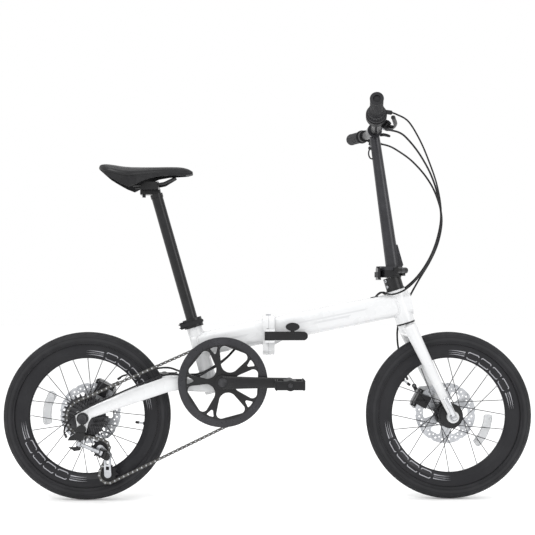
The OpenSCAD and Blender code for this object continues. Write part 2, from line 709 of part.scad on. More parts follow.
// ---------------------------------------------------------------- front frame
module main_tube_front() color(WHITE) difference() {
  union() {
    difference() {
      tube_run(8, 372);
      tube_run(-20, 400, -2.6);
      translate([15 - FAR, -FAR / 2, 300]) cube([FAR, FAR, FAR]);
    }
    difference() {
      plate(plate_gap / 2, 15);
      translate([-30, 8, 436]) rotate([0, 90, 0]) cylinder(r = 11, h = 60);
      for (z = [373, 413, 453]) translate([0, pin_y, z])
        cylinder(r = 8.6, h = 22);
    }
    for (z = [[395, 413], [435, 453]]) {
      knuckle(z[0], z[1]);
      translate([plate_gap / 2, pin_y - 12, z[0]])
        cube([15 - plate_gap / 2, 12, z[1] - z[0]]);
    }
    // lugs that hold the latch
    for (z = [405, 434]) intersection() {
      union() {
        translate([latch_p.x, latch_p.y, z]) cylinder(r = 8, h = 6);
        translate([latch_p.x, latch_p.y - 6, z]) cube([18, 16, 6]);
      }
      translate([-60, -80, 300]) cube([120, 80, 200]);
    }
    // small gusset in front of the plate, under the tube
    side(-4, 4) polygon([[15, 398], [40, 412], [15, 418]]);
  }
  translate([0, pin_y, 300]) cylinder(r = 4.06, h = 300);
  translate([latch_p.x, latch_p.y, 300]) cylinder(r = 3, h = 300);
  rod(steer_pt(-60), steer_pt(160), head_r);
  // cable port on top of the tube
  translate([268, -7, 505]) cube([18, 14, 30]);
}
latch_p = [-3, -42, 0];
module head_tube() color(WHITE) difference() {
  rod(steer_pt(0.5), steer_pt(88.5), head_r);
  rod(steer_pt(-10), steer_pt(120), 19);
}
// pressed cups with their bearings
module headset() color(BLACK) for (d = [[-3.5, 12], [77, 92]]) difference() {
  union() {
    rod(steer_pt(d[0]), steer_pt(d[1]), 19);
    rod(steer_pt(d[0] < 0 ? -3.5 : 88.5), steer_pt(d[0] < 0 ? 0.5 : 92), 24.5);
  }
  rod(steer_pt(-20), steer_pt(130), 14.38);
}
module frame_latch() color(BLACK) difference() {
  union() {
    translate([latch_p.x, latch_p.y, 411.4]) cylinder(r = 8, h = 22.2);
    translate([latch_p.x, latch_p.y - 6, 411.4]) cube([92, 9, 22.2]);
    translate([latch_p.x + 92, latch_p.y + 3, 422.5]) rotate([90, 0, 0])
      cylinder(r = 11.1, h = 9);
    // pivot pin
    translate([latch_p.x, latch_p.y, 404]) cylinder(r = 2.94, h = 37);
    // release knob
    translate([61, latch_p.y + 1, 446]) rotate([90, 0, 0])
      linear_extrude(8) scale([1.7, 1]) circle(10.5);
    translate([56, latch_p.y - 5, 432]) cube([10, 6, 8]);
  }
}

// ---------------------------------------------------------------- fork and stem
fork_c = [366, 0, 436];
module fork() color(WHITE) difference() {
  union() {
    rod(steer_pt(-22), steer_pt(-3.7), 22);
    rod(fork_c + [0, -57, 0], fork_c + [0, 57, 0], 17);
    for (s = [-1, 1]) rod(fork_c + [-7, 57 * s, 14],
      [front_x - 3, 57 * s, axle_z + 8], 17, 9.5);
    for (y = [[-61, -50], [50, 61]]) across(front_x, axle_z, y[0], y[1], 15);
    // brake mount on the left leg, open around the caliper's pivot
    side(55.3, 59) difference() {
      polygon([[455, 245], [440, 288], [404, 285], [395, 275], [379, 247],
        [377, 237], [386, 228], [400, 226], [430, 231]]);
      translate([408.3, 250]) circle(18.6);
      for (p = [[387.4, 239.2], [406.4, 273.4]]) translate(p) circle(2.6);
    }
    rod(steer_pt(-10), steer_pt(125.8), 14.3);
  }
  rod(steer_pt(-60), steer_pt(124), 12);
  across(front_x, axle_z, -80, 80, 4.6);
  // flats where the hub sits
  across(front_x, axle_z, -50, 50, 26);
  // room for the disc and the caliper
  across(front_x, axle_z, 34, 46, disc_r + 4);
  at_front_caliper() translate([-21.3, -16, -16.3]) cube([36, 31, 32.6]);
  for (y = [-90, 61]) across(front_x, axle_z, y, y + 29, 10.2);
}
module fold_at(n0, n1, r) rod(fold_pin + n0 * [cos(45), sin(45), 0],
  fold_pin + n1 * [cos(45), sin(45), 0], r);
module web(n0, n1, z0, z1) translate([fold_c.x, 0, z0]) rotate([0, 0, -45])
  translate([12, n0, 0]) cube([21, n1 - n0, z1 - z0]);
module stem_base() color(BLACK) {
  difference() {
    union() {
      rod(steer_pt(92.2), steer_pt(124), 23);
      translate([fold_c.x, 0, 574]) cylinder(r = 28, h = fold_z - 574.15);
      for (n = [[-20, -8], [8, 20]]) {
        fold_at(n[0], n[1], 8);
        web(n[0], n[1], 578, fold_z - 1);
      }
    }
    rod(steer_pt(60), steer_pt(126), 14.3);
    fold_at(-8, 8, 9);
  }
  fold_at(-8.5, 8.5, 3.5);
}
module front_axle() color(STEEL) {
  across(front_x, axle_z, -64, 66, 4.6);
  difference() {
    across(front_x, axle_z, 61, 70, 9.5);
    across(front_x, axle_z, 50, 80, 4.6);
  }
  // the cup that the cam lever presses, and the eye that holds its pin
  difference() {
    across(front_x, axle_z, -68, -61, 9.5);
    across(front_x, axle_z, -64, -50, 4.6);
  }
  translate(qr_p) rotate([0, -24, 0]) {
    translate([-2.3, 0, -2.3]) cube([4.6, 7.5, 4.6]);
    rotate([0, 90, 0]) translate([0, 0, -6.5]) cylinder(r = 2.44, h = 13);
  }
}
// quick release lever on the right, lying up along the leg
qr_p = [front_x, -75.5, axle_z];
module front_axle_lever() color(GREY) difference() {
  translate(qr_p) rotate([0, -24, 0]) {
    translate([-6, 0, 0]) rotate([0, 90, 0]) cylinder(r = 7, h = 12);
    translate([-5, -7, 4]) cube([10, 6, 49]);
    translate([0, -1, 53]) rotate([90, 0, 0]) cylinder(r = 7, h = 6);
  }
  translate(qr_p) rotate([0, -24, 0]) {
    translate([-9, 0, 0]) rotate([0, 90, 0]) cylinder(r = 2.5, h = 18);
    translate([-2.7, -9, -9]) cube([5.4, 18, 16.5]);
  }
}

// ---------------------------------------------------------------- handlepost
module handlepost() color(GREY) difference() {
  union() {
    rod(post_foot, bar_c + [1.6, 0, -14], 18.3, 13.3);
    translate([fold_c.x, 0, fold_z + 0.15]) cylinder(r = 28, h = 10);
    // lug and pin of the latch
    translate([stem_p.x, stem_p.y, 598.5]) cylinder(r = 6, h = 5);
    translate([stem_p.x, 6, 598.5]) cube([16, 13, 5]);
    translate([stem_p.x, stem_p.y, 569]) cylinder(r = 2.44, h = 30);
    // fin up the front of the post
    side(-6, 6) polygon([[330, 600], [346, 600], [353, 606], [338, 660],
      [325, 660]]);
    fold_at(-7.4, 7.4, 8);
    web(-7.4, 7.4, fold_z + 1, 604);
    // handlebar clamp
    across(bar_c.x, bar_c.z, -21, 21, 19);
  }
  rod(post_foot + [0, 0, 12], bar_c + [1.6, 0, -22], 15.6, 10.8);
  across(bar_c.x, bar_c.z, -40, 40, 12.7);
  for (n = [[-40, -7.4], [7.4, 40]]) fold_at(n[0], n[1], 9);
  fold_at(-30, 30, 3.56);
  translate([bar_c.x, -30, bar_c.z - 1]) cube([30, 60, 2]);
}
// latch lever at the back of the hinge
stem_p = [291, 20, 0];
module stem_latch() color(BLACK) difference() {
  union() {
    translate([stem_p.x, stem_p.y, 568]) cylinder(r = 6.5, h = 30.2);
    translate([283.5, -24, 568]) cube([6.5, 44, 30.2]);
    translate([284, -24, 574]) rotate([0, 0, 20]) cube([6, 20, 14]);
  }
  translate([stem_p.x, stem_p.y, 560]) cylinder(r = 2.5, h = 80);
}
module handlebar() color(BLACK) difference() {
  union() {
    across(bar_c.x, bar_c.z, -42, 42, 12.7);
    for (s = [-1, 1]) {
      translate(bar_pt(42 * s)) sphere(bar_r + 1.55);
      rod(bar_pt(42 * s), bar_pt((bar_half - 2) * s), bar_r);
    }
  }
  across(bar_c.x, bar_c.z, -36, 36, 8.9);
  for (s = [-1, 1]) {
    rod(bar_pt(60 * s), bar_pt((bar_half + 20) * s), 8.8);
    translate(bar_pt(59.5 * s)) sphere(9.2);
  }
}
module grips() color(RUBBER) for (g = [[-1, 193], [1, 152]]) difference() {
  union() {
    rod(bar_pt(g[0] * g[1]), bar_pt(g[0] * bar_half), grip_r);
    rod(bar_pt(g[0] * g[1]), bar_pt(g[0] * (g[1] + 4)), grip_r + 2.5);
  }
  rod(bar_pt(g[0] * (g[1] - 9)), bar_pt(g[0] * (bar_half - 2)), bar_r);
  rod(bar_pt(g[0] * 270), bar_pt(g[0] * 290), 9);
}
module shifter() color(BLACK) difference() {
  union() {
    rod(bar_pt(-190), bar_pt(-161), 20);
    rod(bar_pt(-172), bar_pt(-161), 24);
  }
  rod(bar_pt(-200), bar_pt(-150), bar_r + 0.08);
}
// brake lever brackets, and the fixed half of the shifter
lever_f = [0.82, 0, -0.57];
lever_n = [0.57, 0, 0.82];
function lever_pt(s, u, f) = bar_pt(s * (128 + u)) + f * lever_f;
module control_mounts() color(BLACK) {
  for (s = [-1, 1]) difference() {
    union() {
      rod(bar_pt(s * 118), bar_pt(s * 134), 16);
      rod(lever_pt(s, -3, 8), lever_pt(s, -6, 30), 8);
      rod(lever_pt(s, -24, 34), lever_pt(s, -6, 32), 6);
      translate(lever_pt(s, 0, 30)) rod(-11 * lever_n, 11 * lever_n, 8.5);
    }
    rod(bar_pt(s * 110), bar_pt(s * 140), bar_r);
    translate(lever_pt(s, 0, 30)) {
      rod(-5.4 * lever_n, 5.4 * lever_n, 14);
      rod(-20 * lever_n, 20 * lever_n, 2.5);
    }
    translate(lever_pt(s, 12, 36)) rod(-5.4 * lever_n, 5.4 * lever_n, 14);
  }
  difference() {
    union() {
      rod(bar_pt(-160.5), bar_pt(-140), 26);
      rod(bar_pt(-150) + [14, 6, 12], bar_pt(-150) + [40, 22, 12], 5.5);
    }
    rod(bar_pt(-165), bar_pt(-135), bar_r);
  }
}
module brake_lever(s) color(BLACK) difference() {
  union() {
    translate(lever_pt(s, 0, 30)) rod(-5 * lever_n, 5 * lever_n, 7.5);
    cable([for (p = [[0, 30], [10, 42], [22, 51], [38, 56], [58, 57],
      [78, 53], [96, 49]]) lever_pt(s, p[0], p[1])], 4.9, 12);
    translate(lever_pt(s, 0, 30)) rod(-10.5 * lever_n, 10.5 * lever_n, 2.44);
  }
}
module brake_lever_right() brake_lever(-1);
module brake_lever_left() brake_lever(1);

// ---------------------------------------------------------------- cables
module rear_brake_cable() color(BLACK) cable([[330, -100, 938], [352, -86, 925],
  [385, -62, 893], [418, -38, 846], [440, -20, 795], [452, -8, 735], [444, 4, 676],
  [424, 16, 622], [392, 27, 574], [352, 33, 540], [318, 29, 528], [298, 14, 535],
  [284, 5, 527], [277, 3.4, 514], [262, 3.2, 490], [20, 12, 438], [-20, 12, 432],
  [-60, 6, 412], [-86, 0, 390], [-108, -9, 367], [-136, -22, 347],
  [-158, -28, 334], [-178, -28, 326], [-205, -22, 322], [-235, -8, 332],
  [-262, 14, 338], [-300, 32, 334], [-350, 44, 322], [-385, 60, 314],
  [-401, 69.5, 304]], 2.5);
module shift_cable() color(BLACK) cable([[320, -122, 980], [352, -104, 966],
  [384, -80, 925], [410, -60, 876], [436, -40, 812], [449, -26, 742],
  [441, -20, 676], [421, -24, 620], [388, -30, 574], [352, -32, 541],
  [318, -29, 529], [298, -14, 535], [284, -5, 527], [277, -3.4, 514],
  [262, -3.2, 490], [20, 4, 440], [-20, 4, 434], [-60, -1, 412], [-85, -7, 389],
  [-107, -16, 366], [-132, -29, 346], [-156, -34.5, 333], [-180, -35, 320],
  [-212, -38, 321], [-262, -52, 324], [-330, -63, 300], [-400, -73, 270],
  [-450, -79, 247], [-488, -80, 226], [-508, -80, 205], [-514, -80, 184],
  [-508, -80, 169]], 2.2);
module front_brake_cable() color(BLACK) cable([[330, 100, 938], [352, 88, 924],
  [388, 66, 892], [423, 46, 846], [447, 32, 796], [460, 22, 735], [452, 20, 676],
  [431, 25, 622], [398, 34, 565], [374, 38, 520], [357, 38, 480], [344, 37, 444],
  [343, 37, 404], [352, 46, 360], [364, 60, 322], [374, 66, 302]], 2.5);

// ---------------------------------------------------------------- assembly
seat_tube();
main_tube_rear();
chainstays();
hinge_pin();
seat_clamp();
bottom_bracket();
rear_axle();
rear_caliper();
derailleur_mount();
rear_brake_cable();
shift_cable();
chain();
seat_clamp_lever();
seatpost();
saddle_clamp();
saddle_rails();
saddle_base();
saddle_cover();
crank_right();
chainring();
crank_left();
spindles();
pedal_right();
pedal_left();
rear_hub();
rear_spokes();
rear_rim();
rear_tyre();
rear_disc();
sprockets();
derailleur_link();
derailleur_knuckle();
derailleur_cage();
guide_pulley();
tension_pulley();
main_tube_front();
head_tube();
headset();
frame_latch();
fork();
stem_base();
front_axle();
front_axle_lever();
front_caliper();
front_hub();
front_spokes();
front_rim();
front_tyre();
front_disc();
front_caliper_arm();
rear_caliper_arm();
handlepost();
stem_latch();
handlebar();
grips();
shifter();
control_mounts();
brake_lever_right();
brake_lever_left();
front_brake_cable();
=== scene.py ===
"""Looks of the folding bicycle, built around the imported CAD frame.

Lengths in this file are in millimetres in the CAD's frame unless a name ends
in _m, and mesh builders turn them into metres.
"""
import math

import bmesh
import bpy
from mathutils import Matrix, Vector


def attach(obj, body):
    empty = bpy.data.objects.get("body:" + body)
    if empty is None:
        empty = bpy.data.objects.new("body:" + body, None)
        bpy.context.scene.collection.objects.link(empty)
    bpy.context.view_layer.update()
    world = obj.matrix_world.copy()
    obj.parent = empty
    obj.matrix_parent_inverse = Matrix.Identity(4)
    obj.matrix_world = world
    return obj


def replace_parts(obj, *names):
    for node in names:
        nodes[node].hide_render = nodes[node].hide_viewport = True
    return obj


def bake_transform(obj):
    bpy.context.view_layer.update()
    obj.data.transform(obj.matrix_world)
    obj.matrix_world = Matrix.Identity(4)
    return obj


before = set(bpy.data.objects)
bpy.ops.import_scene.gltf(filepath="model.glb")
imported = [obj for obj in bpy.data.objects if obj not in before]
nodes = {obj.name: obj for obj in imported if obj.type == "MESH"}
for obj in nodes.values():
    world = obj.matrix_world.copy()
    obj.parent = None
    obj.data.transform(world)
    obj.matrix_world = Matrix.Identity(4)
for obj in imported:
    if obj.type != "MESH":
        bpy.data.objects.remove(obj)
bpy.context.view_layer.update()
scene = bpy.context.scene
MM = 0.001

# ------------------------------------------------------------------- layout
AXLE_Z = 216
FRONT_X, REAR_X = 469.5, -469.5
BB = Vector((-117.5, 0, 305))
CHAIN_Y = -44
PITCH = 12.7
GUIDE = Vector((-428, 0, 137))
TENSION = Vector((-408.5, 0, 72.5))
SEAT_A = math.radians(16.1)
SEAT_TOP = Vector((-200.8, 0, 468.5))
SEAT_DIR = Vector((-math.sin(SEAT_A), 0, math.cos(SEAT_A)))
STEER_A = math.radians(17)
STEER_P = Vector((358.8, 0, 456.3))
STEER_DIR = Vector((-math.sin(STEER_A), 0, math.cos(STEER_A)))
TUBE_A = math.radians(11.31)
TUBE_P = Vector((0, 0, 435.2))
TUBE_DIR = Vector((math.cos(TUBE_A), 0, math.sin(TUBE_A)))
BAR_C = Vector((278, 0, 959))
LEVER_F = Vector((0.82, 0, -0.57))
LEVER_N = Vector((0.57, 0, 0.82)).normalized()


def bar_pt(y):
    t = max(0, (abs(y) - 42) / 238)
    return BAR_C + t * Vector((-29, 0, 27)) + Vector((0, y, 0))


def lever_pt(side, out, fwd):
    return bar_pt(side * (128 + out)) + fwd * LEVER_F


def gear_r(n):
    return PITCH / (2 * math.sin(math.pi / n))


# ---------------------------------------------------------------- materials
def nodes_of(m):
    return m.node_tree.nodes, m.node_tree.links


def coords(m, scale=(1, 1, 1)):
    n, k = nodes_of(m)
    c = n.new("ShaderNodeTexCoord")
    p = n.new("ShaderNodeMapping")
    p.inputs["Scale"].default_value = scale
    k.new(c.outputs["Object"], p.inputs["Vector"])
    return p.outputs["Vector"]


def noise(m, vec, scale, detail=4, rough=0.55):
    n, k = nodes_of(m)
    t = n.new("ShaderNodeTexNoise")
    t.inputs["Scale"].default_value = scale
    t.inputs["Detail"].default_value = detail
    t.inputs["Roughness"].default_value = rough
    k.new(vec, t.inputs["Vector"])
    return t.outputs["Fac"]


def ramp(m, fac, a, b, lo=0.35, hi=0.65):
    n, k = nodes_of(m)
    r = n.new("ShaderNodeMapRange")
    r.inputs["From Min"].default_value = lo
    r.inputs["From Max"].default_value = hi
    r.inputs["To Min"].default_value = a
    r.inputs["To Max"].default_value = b
    k.new(fac, r.inputs["Value"])
    return r.outputs["Result"]


def mix_colour(m, fac, a, b):
    n, k = nodes_of(m)
    x = n.new("ShaderNodeMix")
    x.data_type = "RGBA"
    x.inputs[6].default_value = (*a, 1)
    x.inputs[7].default_value = (*b, 1)
    k.new(fac, x.inputs[0])
    return x.outputs[2]


def bump(m, height, strength, dist_m):
    n, k = nodes_of(m)
    b = n.new("ShaderNodeBump")
    b.inputs["Strength"].default_value = strength
    b.inputs["Distance"].default_value = dist_m
    k.new(height, b.inputs["Height"])
    return b.outputs["Normal"]


def material(name, a, b, rough=(0.3, 0.4), metal=0.0, coat=0.0, coat_rough=0.1,
             spots=30, grain=900, grain_m=0.00004, grain_strength=0.3,
             stretch=(1, 1, 1), sheen=0.0, spec=0.5):
    """A finish whose colour drifts from a to b, with fine grain in its relief."""
    m = bpy.data.materials.new(name)
    m.use_nodes = True
    n, k = nodes_of(m)
    p = n["Principled BSDF"]
    vec = coords(m)
    k.new(mix_colour(m, ramp(m, noise(m, vec, spots), 0, 1), a, b),
          p.inputs["Base Color"])
    k.new(ramp(m, noise(m, vec, spots * 3), rough[0], rough[1]),
          p.inputs["Roughness"])
    fine = noise(m, coords(m, stretch), grain, 3)
    k.new(bump(m, fine, grain_strength, grain_m), p.inputs["Normal"])
    p.inputs["Metallic"].default_value = metal
    p.inputs["Coat Weight"].default_value = coat
    p.inputs["Coat Roughness"].default_value = coat_rough
    p.inputs["Sheen Weight"].default_value = sheen
    p.inputs["Specular IOR Level"].default_value = spec
    return m


WHITE = material("white_gloss_paint", (0.62, 0.625, 0.632), (0.59, 0.595, 0.602),
                 (0.24, 0.32), coat=0.5, coat_rough=0.08, spots=9, grain=260,
                 grain_m=0.00006, grain_strength=0.25)
PRINT = material("pale_grey_print", (0.54, 0.545, 0.555), (0.50, 0.505, 0.515),
                 (0.3, 0.38), coat=0.4, coat_rough=0.1, spots=20)
BLACK = material("black_satin_paint", (0.005, 0.005, 0.0055), (0.008, 0.008, 0.009),
                 (0.26, 0.38), coat=0.08, coat_rough=0.2, grain=1100, spec=0.28)
RIM = material("black_anodised_rim", (0.006, 0.006, 0.008), (0.01, 0.01, 0.012),
               (0.34, 0.44), coat=0.05, coat_rough=0.3, spots=14, grain=1400,
               spec=0.25)
DECAL = material("silver_rim_print", (0.34, 0.34, 0.36), (0.26, 0.26, 0.28),
                 (0.35, 0.5), metal=0.3, spots=60)
GREY = material("graphite_paint", (0.016, 0.016, 0.019), (0.024, 0.024, 0.028),
                (0.26, 0.36), metal=0.2, coat=0.15, coat_rough=0.15, grain=1500,
                spec=0.35)
STEEL = material("brushed_steel", (0.5, 0.51, 0.53), (0.38, 0.39, 0.41),
                 (0.24, 0.4), metal=1.0, spots=40, grain=500,
                 stretch=(1, 14, 1), grain_m=0.00003)
CHROME = material("polished_steel", (0.62, 0.63, 0.65), (0.5, 0.51, 0.53),
                  (0.12, 0.22), metal=1.0, spots=30)
DARK = material("blued_steel", (0.03, 0.03, 0.032), (0.06, 0.06, 0.063),
                (0.34, 0.5), metal=0.7, spots=60, grain=700, spec=0.3)
CHAIN = material("oiled_chain_steel", (0.06, 0.058, 0.055), (0.12, 0.118, 0.113),
                 (0.3, 0.44), metal=0.9, spots=110)
PLASTIC = material("black_plastic", (0.006, 0.006, 0.007), (0.01, 0.01, 0.011),
                   (0.45, 0.6), spots=50, grain=1700, grain_m=0.00007,
                   grain_strength=0.5, spec=0.25)
HOSE = material("cable_housing", (0.004, 0.004, 0.005), (0.007, 0.007, 0.008),
                (0.24, 0.34), spots=60, spec=0.25)
RUBBER = material("grip_rubber", (0.012, 0.012, 0.0135), (0.019, 0.019, 0.021),
                  (0.6, 0.75), spots=60, grain=1500, grain_m=0.0001,
                  grain_strength=0.5, sheen=0.03, spec=0.25)
VINYL = material("saddle_vinyl", (0.006, 0.006, 0.007), (0.01, 0.01, 0.011),
                 (0.34, 0.46), spots=18, grain=620, grain_m=0.00018,
                 grain_strength=0.55, spec=0.3)
THREAD = material("saddle_thread", (0.02, 0.02, 0.022), (0.03, 0.03, 0.033),
                  (0.6, 0.7), spots=80)
NIPPLE = material("nickel_nipple", (0.5, 0.5, 0.51), (0.38, 0.38, 0.39),
                  (0.22, 0.32), metal=1.0, spots=100)
SPOKE = material("black_spoke", (0.02, 0.02, 0.022), (0.04, 0.04, 0.043),
                 (0.25, 0.36), metal=0.6, spots=50, spec=0.3)


def tyre_material():
    """Rubber with fine grain."""
    m = material("tyre_rubber", (0.008, 0.008, 0.0095), (0.013, 0.013, 0.015),
                 (0.56, 0.7), spots=16, grain=1300, grain_m=0.00009,
                 grain_strength=0.5, sheen=0.03, spec=0.25)
    return m


TYRE = tyre_material()


def reflector_material():
    """Clear plastic over small square prisms."""
    m = bpy.data.materials.new("clear_reflector")
    m.use_nodes = True
    n, k = nodes_of(m)
    p = n["Principled BSDF"]
    vec = coords(m)
    v = n.new("ShaderNodeTexVoronoi")
    v.distance = "CHEBYCHEV"
    v.inputs["Scale"].default_value = 420
    v.inputs["Randomness"].default_value = 0.0
    k.new(vec, v.inputs["Vector"])
    k.new(mix_colour(m, v.outputs["Distance"], (0.82, 0.83, 0.84),
                     (0.6, 0.61, 0.63)), p.inputs["Base Color"])
    k.new(bump(m, v.outputs["Distance"], 0.6, 0.0004), p.inputs["Normal"])
    p.inputs["Roughness"].default_value = 0.16
    p.inputs["Transmission Weight"].default_value = 0.35
    p.inputs["IOR"].default_value = 1.5
    return m


REFLECTOR = reflector_material()

CAD_LOOKS = {
    WHITE: ("seat_tube", "main_tube_rear", "chainstays", "main_tube_front",
            "head_tube", "fork"),
    BLACK: ("seat_clamp", "seat_clamp_lever", "rear_caliper", "front_caliper",
            "rear_caliper_arm", "front_caliper_arm", "derailleur_mount",
            "derailleur_knuckle", "seatpost", "saddle_clamp", "crank_right",
            "crank_left", "rear_hub", "front_hub", "headset", "frame_latch",
            "stem_base", "stem_latch", "handlebar", "saddle_rails", "brake_lever_right",
            "brake_lever_left"),
    RIM: ("rear_rim", "front_rim"),
    GREY: ("handlepost", "front_axle_lever", "chainring"),
    STEEL: ("hinge_pin", "bottom_bracket", "rear_disc", "front_disc", "derailleur_link",
            "derailleur_cage", "front_axle"),
    DARK: ("rear_axle", "sprockets", "spindles"),
    PLASTIC: ("saddle_base", "pedal_right", "pedal_left", "guide_pulley",
              "tension_pulley", "control_mounts"),
    RUBBER: ("grips", "shifter"),
}
for look, names in CAD_LOOKS.items():
    for name in names:
        for s in nodes[name].material_slots:
            s.material = look


# ------------------------------------------------------------- mesh builders
def make(name, verts, faces, look, body, smooth=True, slot=None, angle=40):
    me = bpy.data.meshes.new(name)
    me.from_pydata([Vector(v) * MM for v in verts], [], faces)
    me.update()
    o = bpy.data.objects.new(name, me)
    scene.collection.objects.link(o)
    return dress(o, look, body, smooth, angle)


def dress(o, look, body, smooth=True, angle=40):
    me = o.data
    b = bmesh.new()
    b.from_mesh(me)
    bmesh.ops.remove_doubles(b, verts=b.verts, dist=1e-6)
    bmesh.ops.recalc_face_normals(b, faces=b.faces)
    b.to_mesh(me)
    b.free()
    me.materials.append(look)
    if smooth:
        me.shade_smooth()
        me.set_sharp_from_angle(angle=math.radians(angle))
    if body:
        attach(o, body)
    return o


def skin(rings, closed=False, caps=True):
    """Vertices and faces over rings of points; closed joins last to first."""
    n = len(rings[0])
    verts = [p for r in rings for p in r]
    faces = []
    last = len(rings) if closed else len(rings) - 1
    for j in range(last):
        a, b = j * n, ((j + 1) % len(rings)) * n
        for i in range(n):
            k = (i + 1) % n
            faces.append((a + i, b + i, b + k, a + k))
    if caps and not closed:
        faces.append(tuple(range(n)))
        faces.append(tuple(range((len(rings) - 1) * n, len(rings) * n))[::-1])
    return verts, faces


def join(*parts):
    verts, faces = [], []
    for v, f in parts:
        at = len(verts)
        verts += list(v)
        faces += [tuple(i + at for i in face) for face in f]
    return verts, faces


def frames_along(pts):
    ts = []
    for i in range(len(pts)):
        ts.append((pts[min(i + 1, len(pts) - 1)] - pts[max(i - 1, 0)]).normalized())
    u = Vector((0.31, 0.52, 0.8))
    out = []
    for t in ts:
        u = (u - u.dot(t) * t).normalized()
        out.append((u.copy(), t.cross(u)))
    return out


def sweep(pts, radius, n=12):
    """A round tube; radius is a number or one per point."""
    pts = [Vector(p) for p in pts]
    rs = radius if isinstance(radius, (list, tuple)) else [radius] * len(pts)
    rings = []
    for p, r, (u, w) in zip(pts, rs, frames_along(pts)):
        rings.append([p + r * (math.cos(2 * math.pi * k / n) * u
                               + math.sin(2 * math.pi * k / n) * w)
                      for k in range(n)])
    return skin(rings)


def smooth_path(pts, steps=6):
    """Catmull-Rom curve through the points."""
    p = [Vector(q) for q in pts]
    p = [2 * p[0] - p[1]] + p + [2 * p[-1] - p[-2]]
    out = []
    for i in range(1, len(p) - 2):
        for s in range(steps):
            t = s / steps
            out.append(0.5 * (2 * p[i] + (p[i + 1] - p[i - 1]) * t
                              + (2 * p[i - 1] - 5 * p[i] + 4 * p[i + 1] - p[i + 2]) * t * t
                              + (3 * p[i] - p[i - 1] - 3 * p[i + 1] + p[i + 2]) * t ** 3))
    out.append(p[-2])
    return out


def turned(profile, n=48):
    """(radius, height) pairs turned about Z."""
    rings = [[Vector((r * math.cos(2 * math.pi * k / n),
                      r * math.sin(2 * math.pi * k / n), z)) for k in range(n)]
             for r, z in profile]
    return skin(rings)


def place(part, origin, z_dir, x_dir=None):
    """Moves a part built about Z so that Z points along z_dir at origin."""
    z = Vector(z_dir).normalized()
    x = Vector(x_dir) if x_dir else (Vector((0, 0, 1)) if abs(z.z) < 0.9
                                     else Vector((1, 0, 0)))
    x = (x - x.dot(z) * z).normalized()
    y = z.cross(x)
    o = Vector(origin)
    return [o + v.x * x + v.y * y + v.z * z for v in part[0]], part[1]


def block(size, chamfer=0.8):
    """A box with chamfered upright edges, centred, built about Z."""
    w, d, h = (s / 2 for s in size)
    c = chamfer
    outline = [(w - c, -d), (w, -d + c), (w, d - c), (w - c, d), (-w + c, d),
               (-w, d - c), (-w, -d + c), (-w + c, -d)]
    rings = []
    for z, k in ((-h, c), (-h + c, 0), (h - c, 0), (h, c)):
        sx, sy = (w - k) / w, (d - k) / d
        rings.append([Vector((x * sx, y * sy, z)) for x, y in outline])
    return skin(rings)


def hexagon(r, h):
    """A bolt head with a hexagon socket, its face up."""
    n = 24
    rings = []
    for rad, z in ((r, 0), (r, h - 0.5), (r - 0.5, h), (r * 0.55, h)):
        rings.append([Vector((rad * math.cos(2 * math.pi * k / n),
                              rad * math.sin(2 * math.pi * k / n), z))
                      for k in range(n)])
    for z in (h, h * 0.35):
        ring = []
        for k in range(n):
            a = 2 * math.pi * k / n
            near = math.cos(math.pi / 6) / math.cos(
                (a % (math.pi / 3)) - math.pi / 6)
            ring.append(Vector((r * 0.5 * near * math.cos(a),
                                r * 0.5 * near * math.sin(a), z)))
        rings.append(ring)
    return skin(rings)


# ---------------------------------------------------------- camera and light
FOCAL_PX = 960
IMAGE_PX = 535
cam_data = bpy.data.cameras.new("camera")
cam_data.sensor_width = 36
cam_data.lens = 36 * FOCAL_PX / IMAGE_PX
cam = bpy.data.objects.new("camera", cam_data)
cam.location = (-0.0465, -2.510, 0.500)
cam.rotation_euler = (math.radians(90 + 2.28), 0, math.radians(-1.0))
scene.collection.objects.link(cam)
scene.camera = cam
scene.view_settings.view_transform = "Standard"

world = bpy.data.worlds.new("studio")
world.use_nodes = True
world.node_tree.nodes["Background"].inputs["Color"].default_value = (1, 1, 1, 1)
world.node_tree.nodes["Background"].inputs["Strength"].default_value = 1.0
scene.world = world


def area(name, at_m, to_m, size_m, power):
    d = bpy.data.lights.new(name, "AREA")
    d.shape = "RECTANGLE"
    d.size, d.size_y = size_m
    d.energy = power
    o = bpy.data.objects.new(name, d)
    o.location = at_m
    o.rotation_euler = (Vector(to_m) - Vector(at_m)).to_track_quat(
        "-Z", "Y").to_euler()
    scene.collection.objects.link(o)


area("key", (-1.6, -2.2, 2.6), (0, 0, 0.4), (1.6, 1.2), 46)
area("fill", (2.2, -2.0, 1.4), (0.1, 0, 0.5), (1.4, 1.4), 18)
area("top", (0, 0.2, 3.0), (0, 0, 0), (2.4, 1.4), 26)

floor_mat = material("pale_floor", (0.93, 0.93, 0.93), (0.92, 0.92, 0.92), (0.7, 0.8),
                     spec=0.1)
floor_mat.node_tree.nodes["Principled BSDF"].inputs[
    "Emission Color"].default_value = (1, 1, 1, 1)
floor_mat.node_tree.nodes["Principled BSDF"].inputs[
    "Emission Strength"].default_value = 0.14
bpy.ops.mesh.primitive_plane_add(size=30, location=(0, 6, -0.0006))
floor = bpy.context.object
floor.name = "floor"
floor.data.materials.append(floor_mat)


# ------------------------------------------------------------------- wheels
def rim_side(r):
    """Half width of the rim's side wall at radius r."""
    return 5 + 6 * (r - 150) / 13 if r < 163 else 11 + (r - 163) / 13


def on_wheel(x, r, a_deg, y):
    a = math.radians(a_deg)
    return Vector((x + r * math.cos(a), y, AXLE_Z + r * math.sin(a)))


SIDEWALL = material("tyre_sidewall_band", (0.013, 0.013, 0.0145),
                    (0.018, 0.018, 0.02), (0.5, 0.6), spots=16, grain=1300,
                    grain_m=0.00005, grain_strength=0.4, spec=0.25)


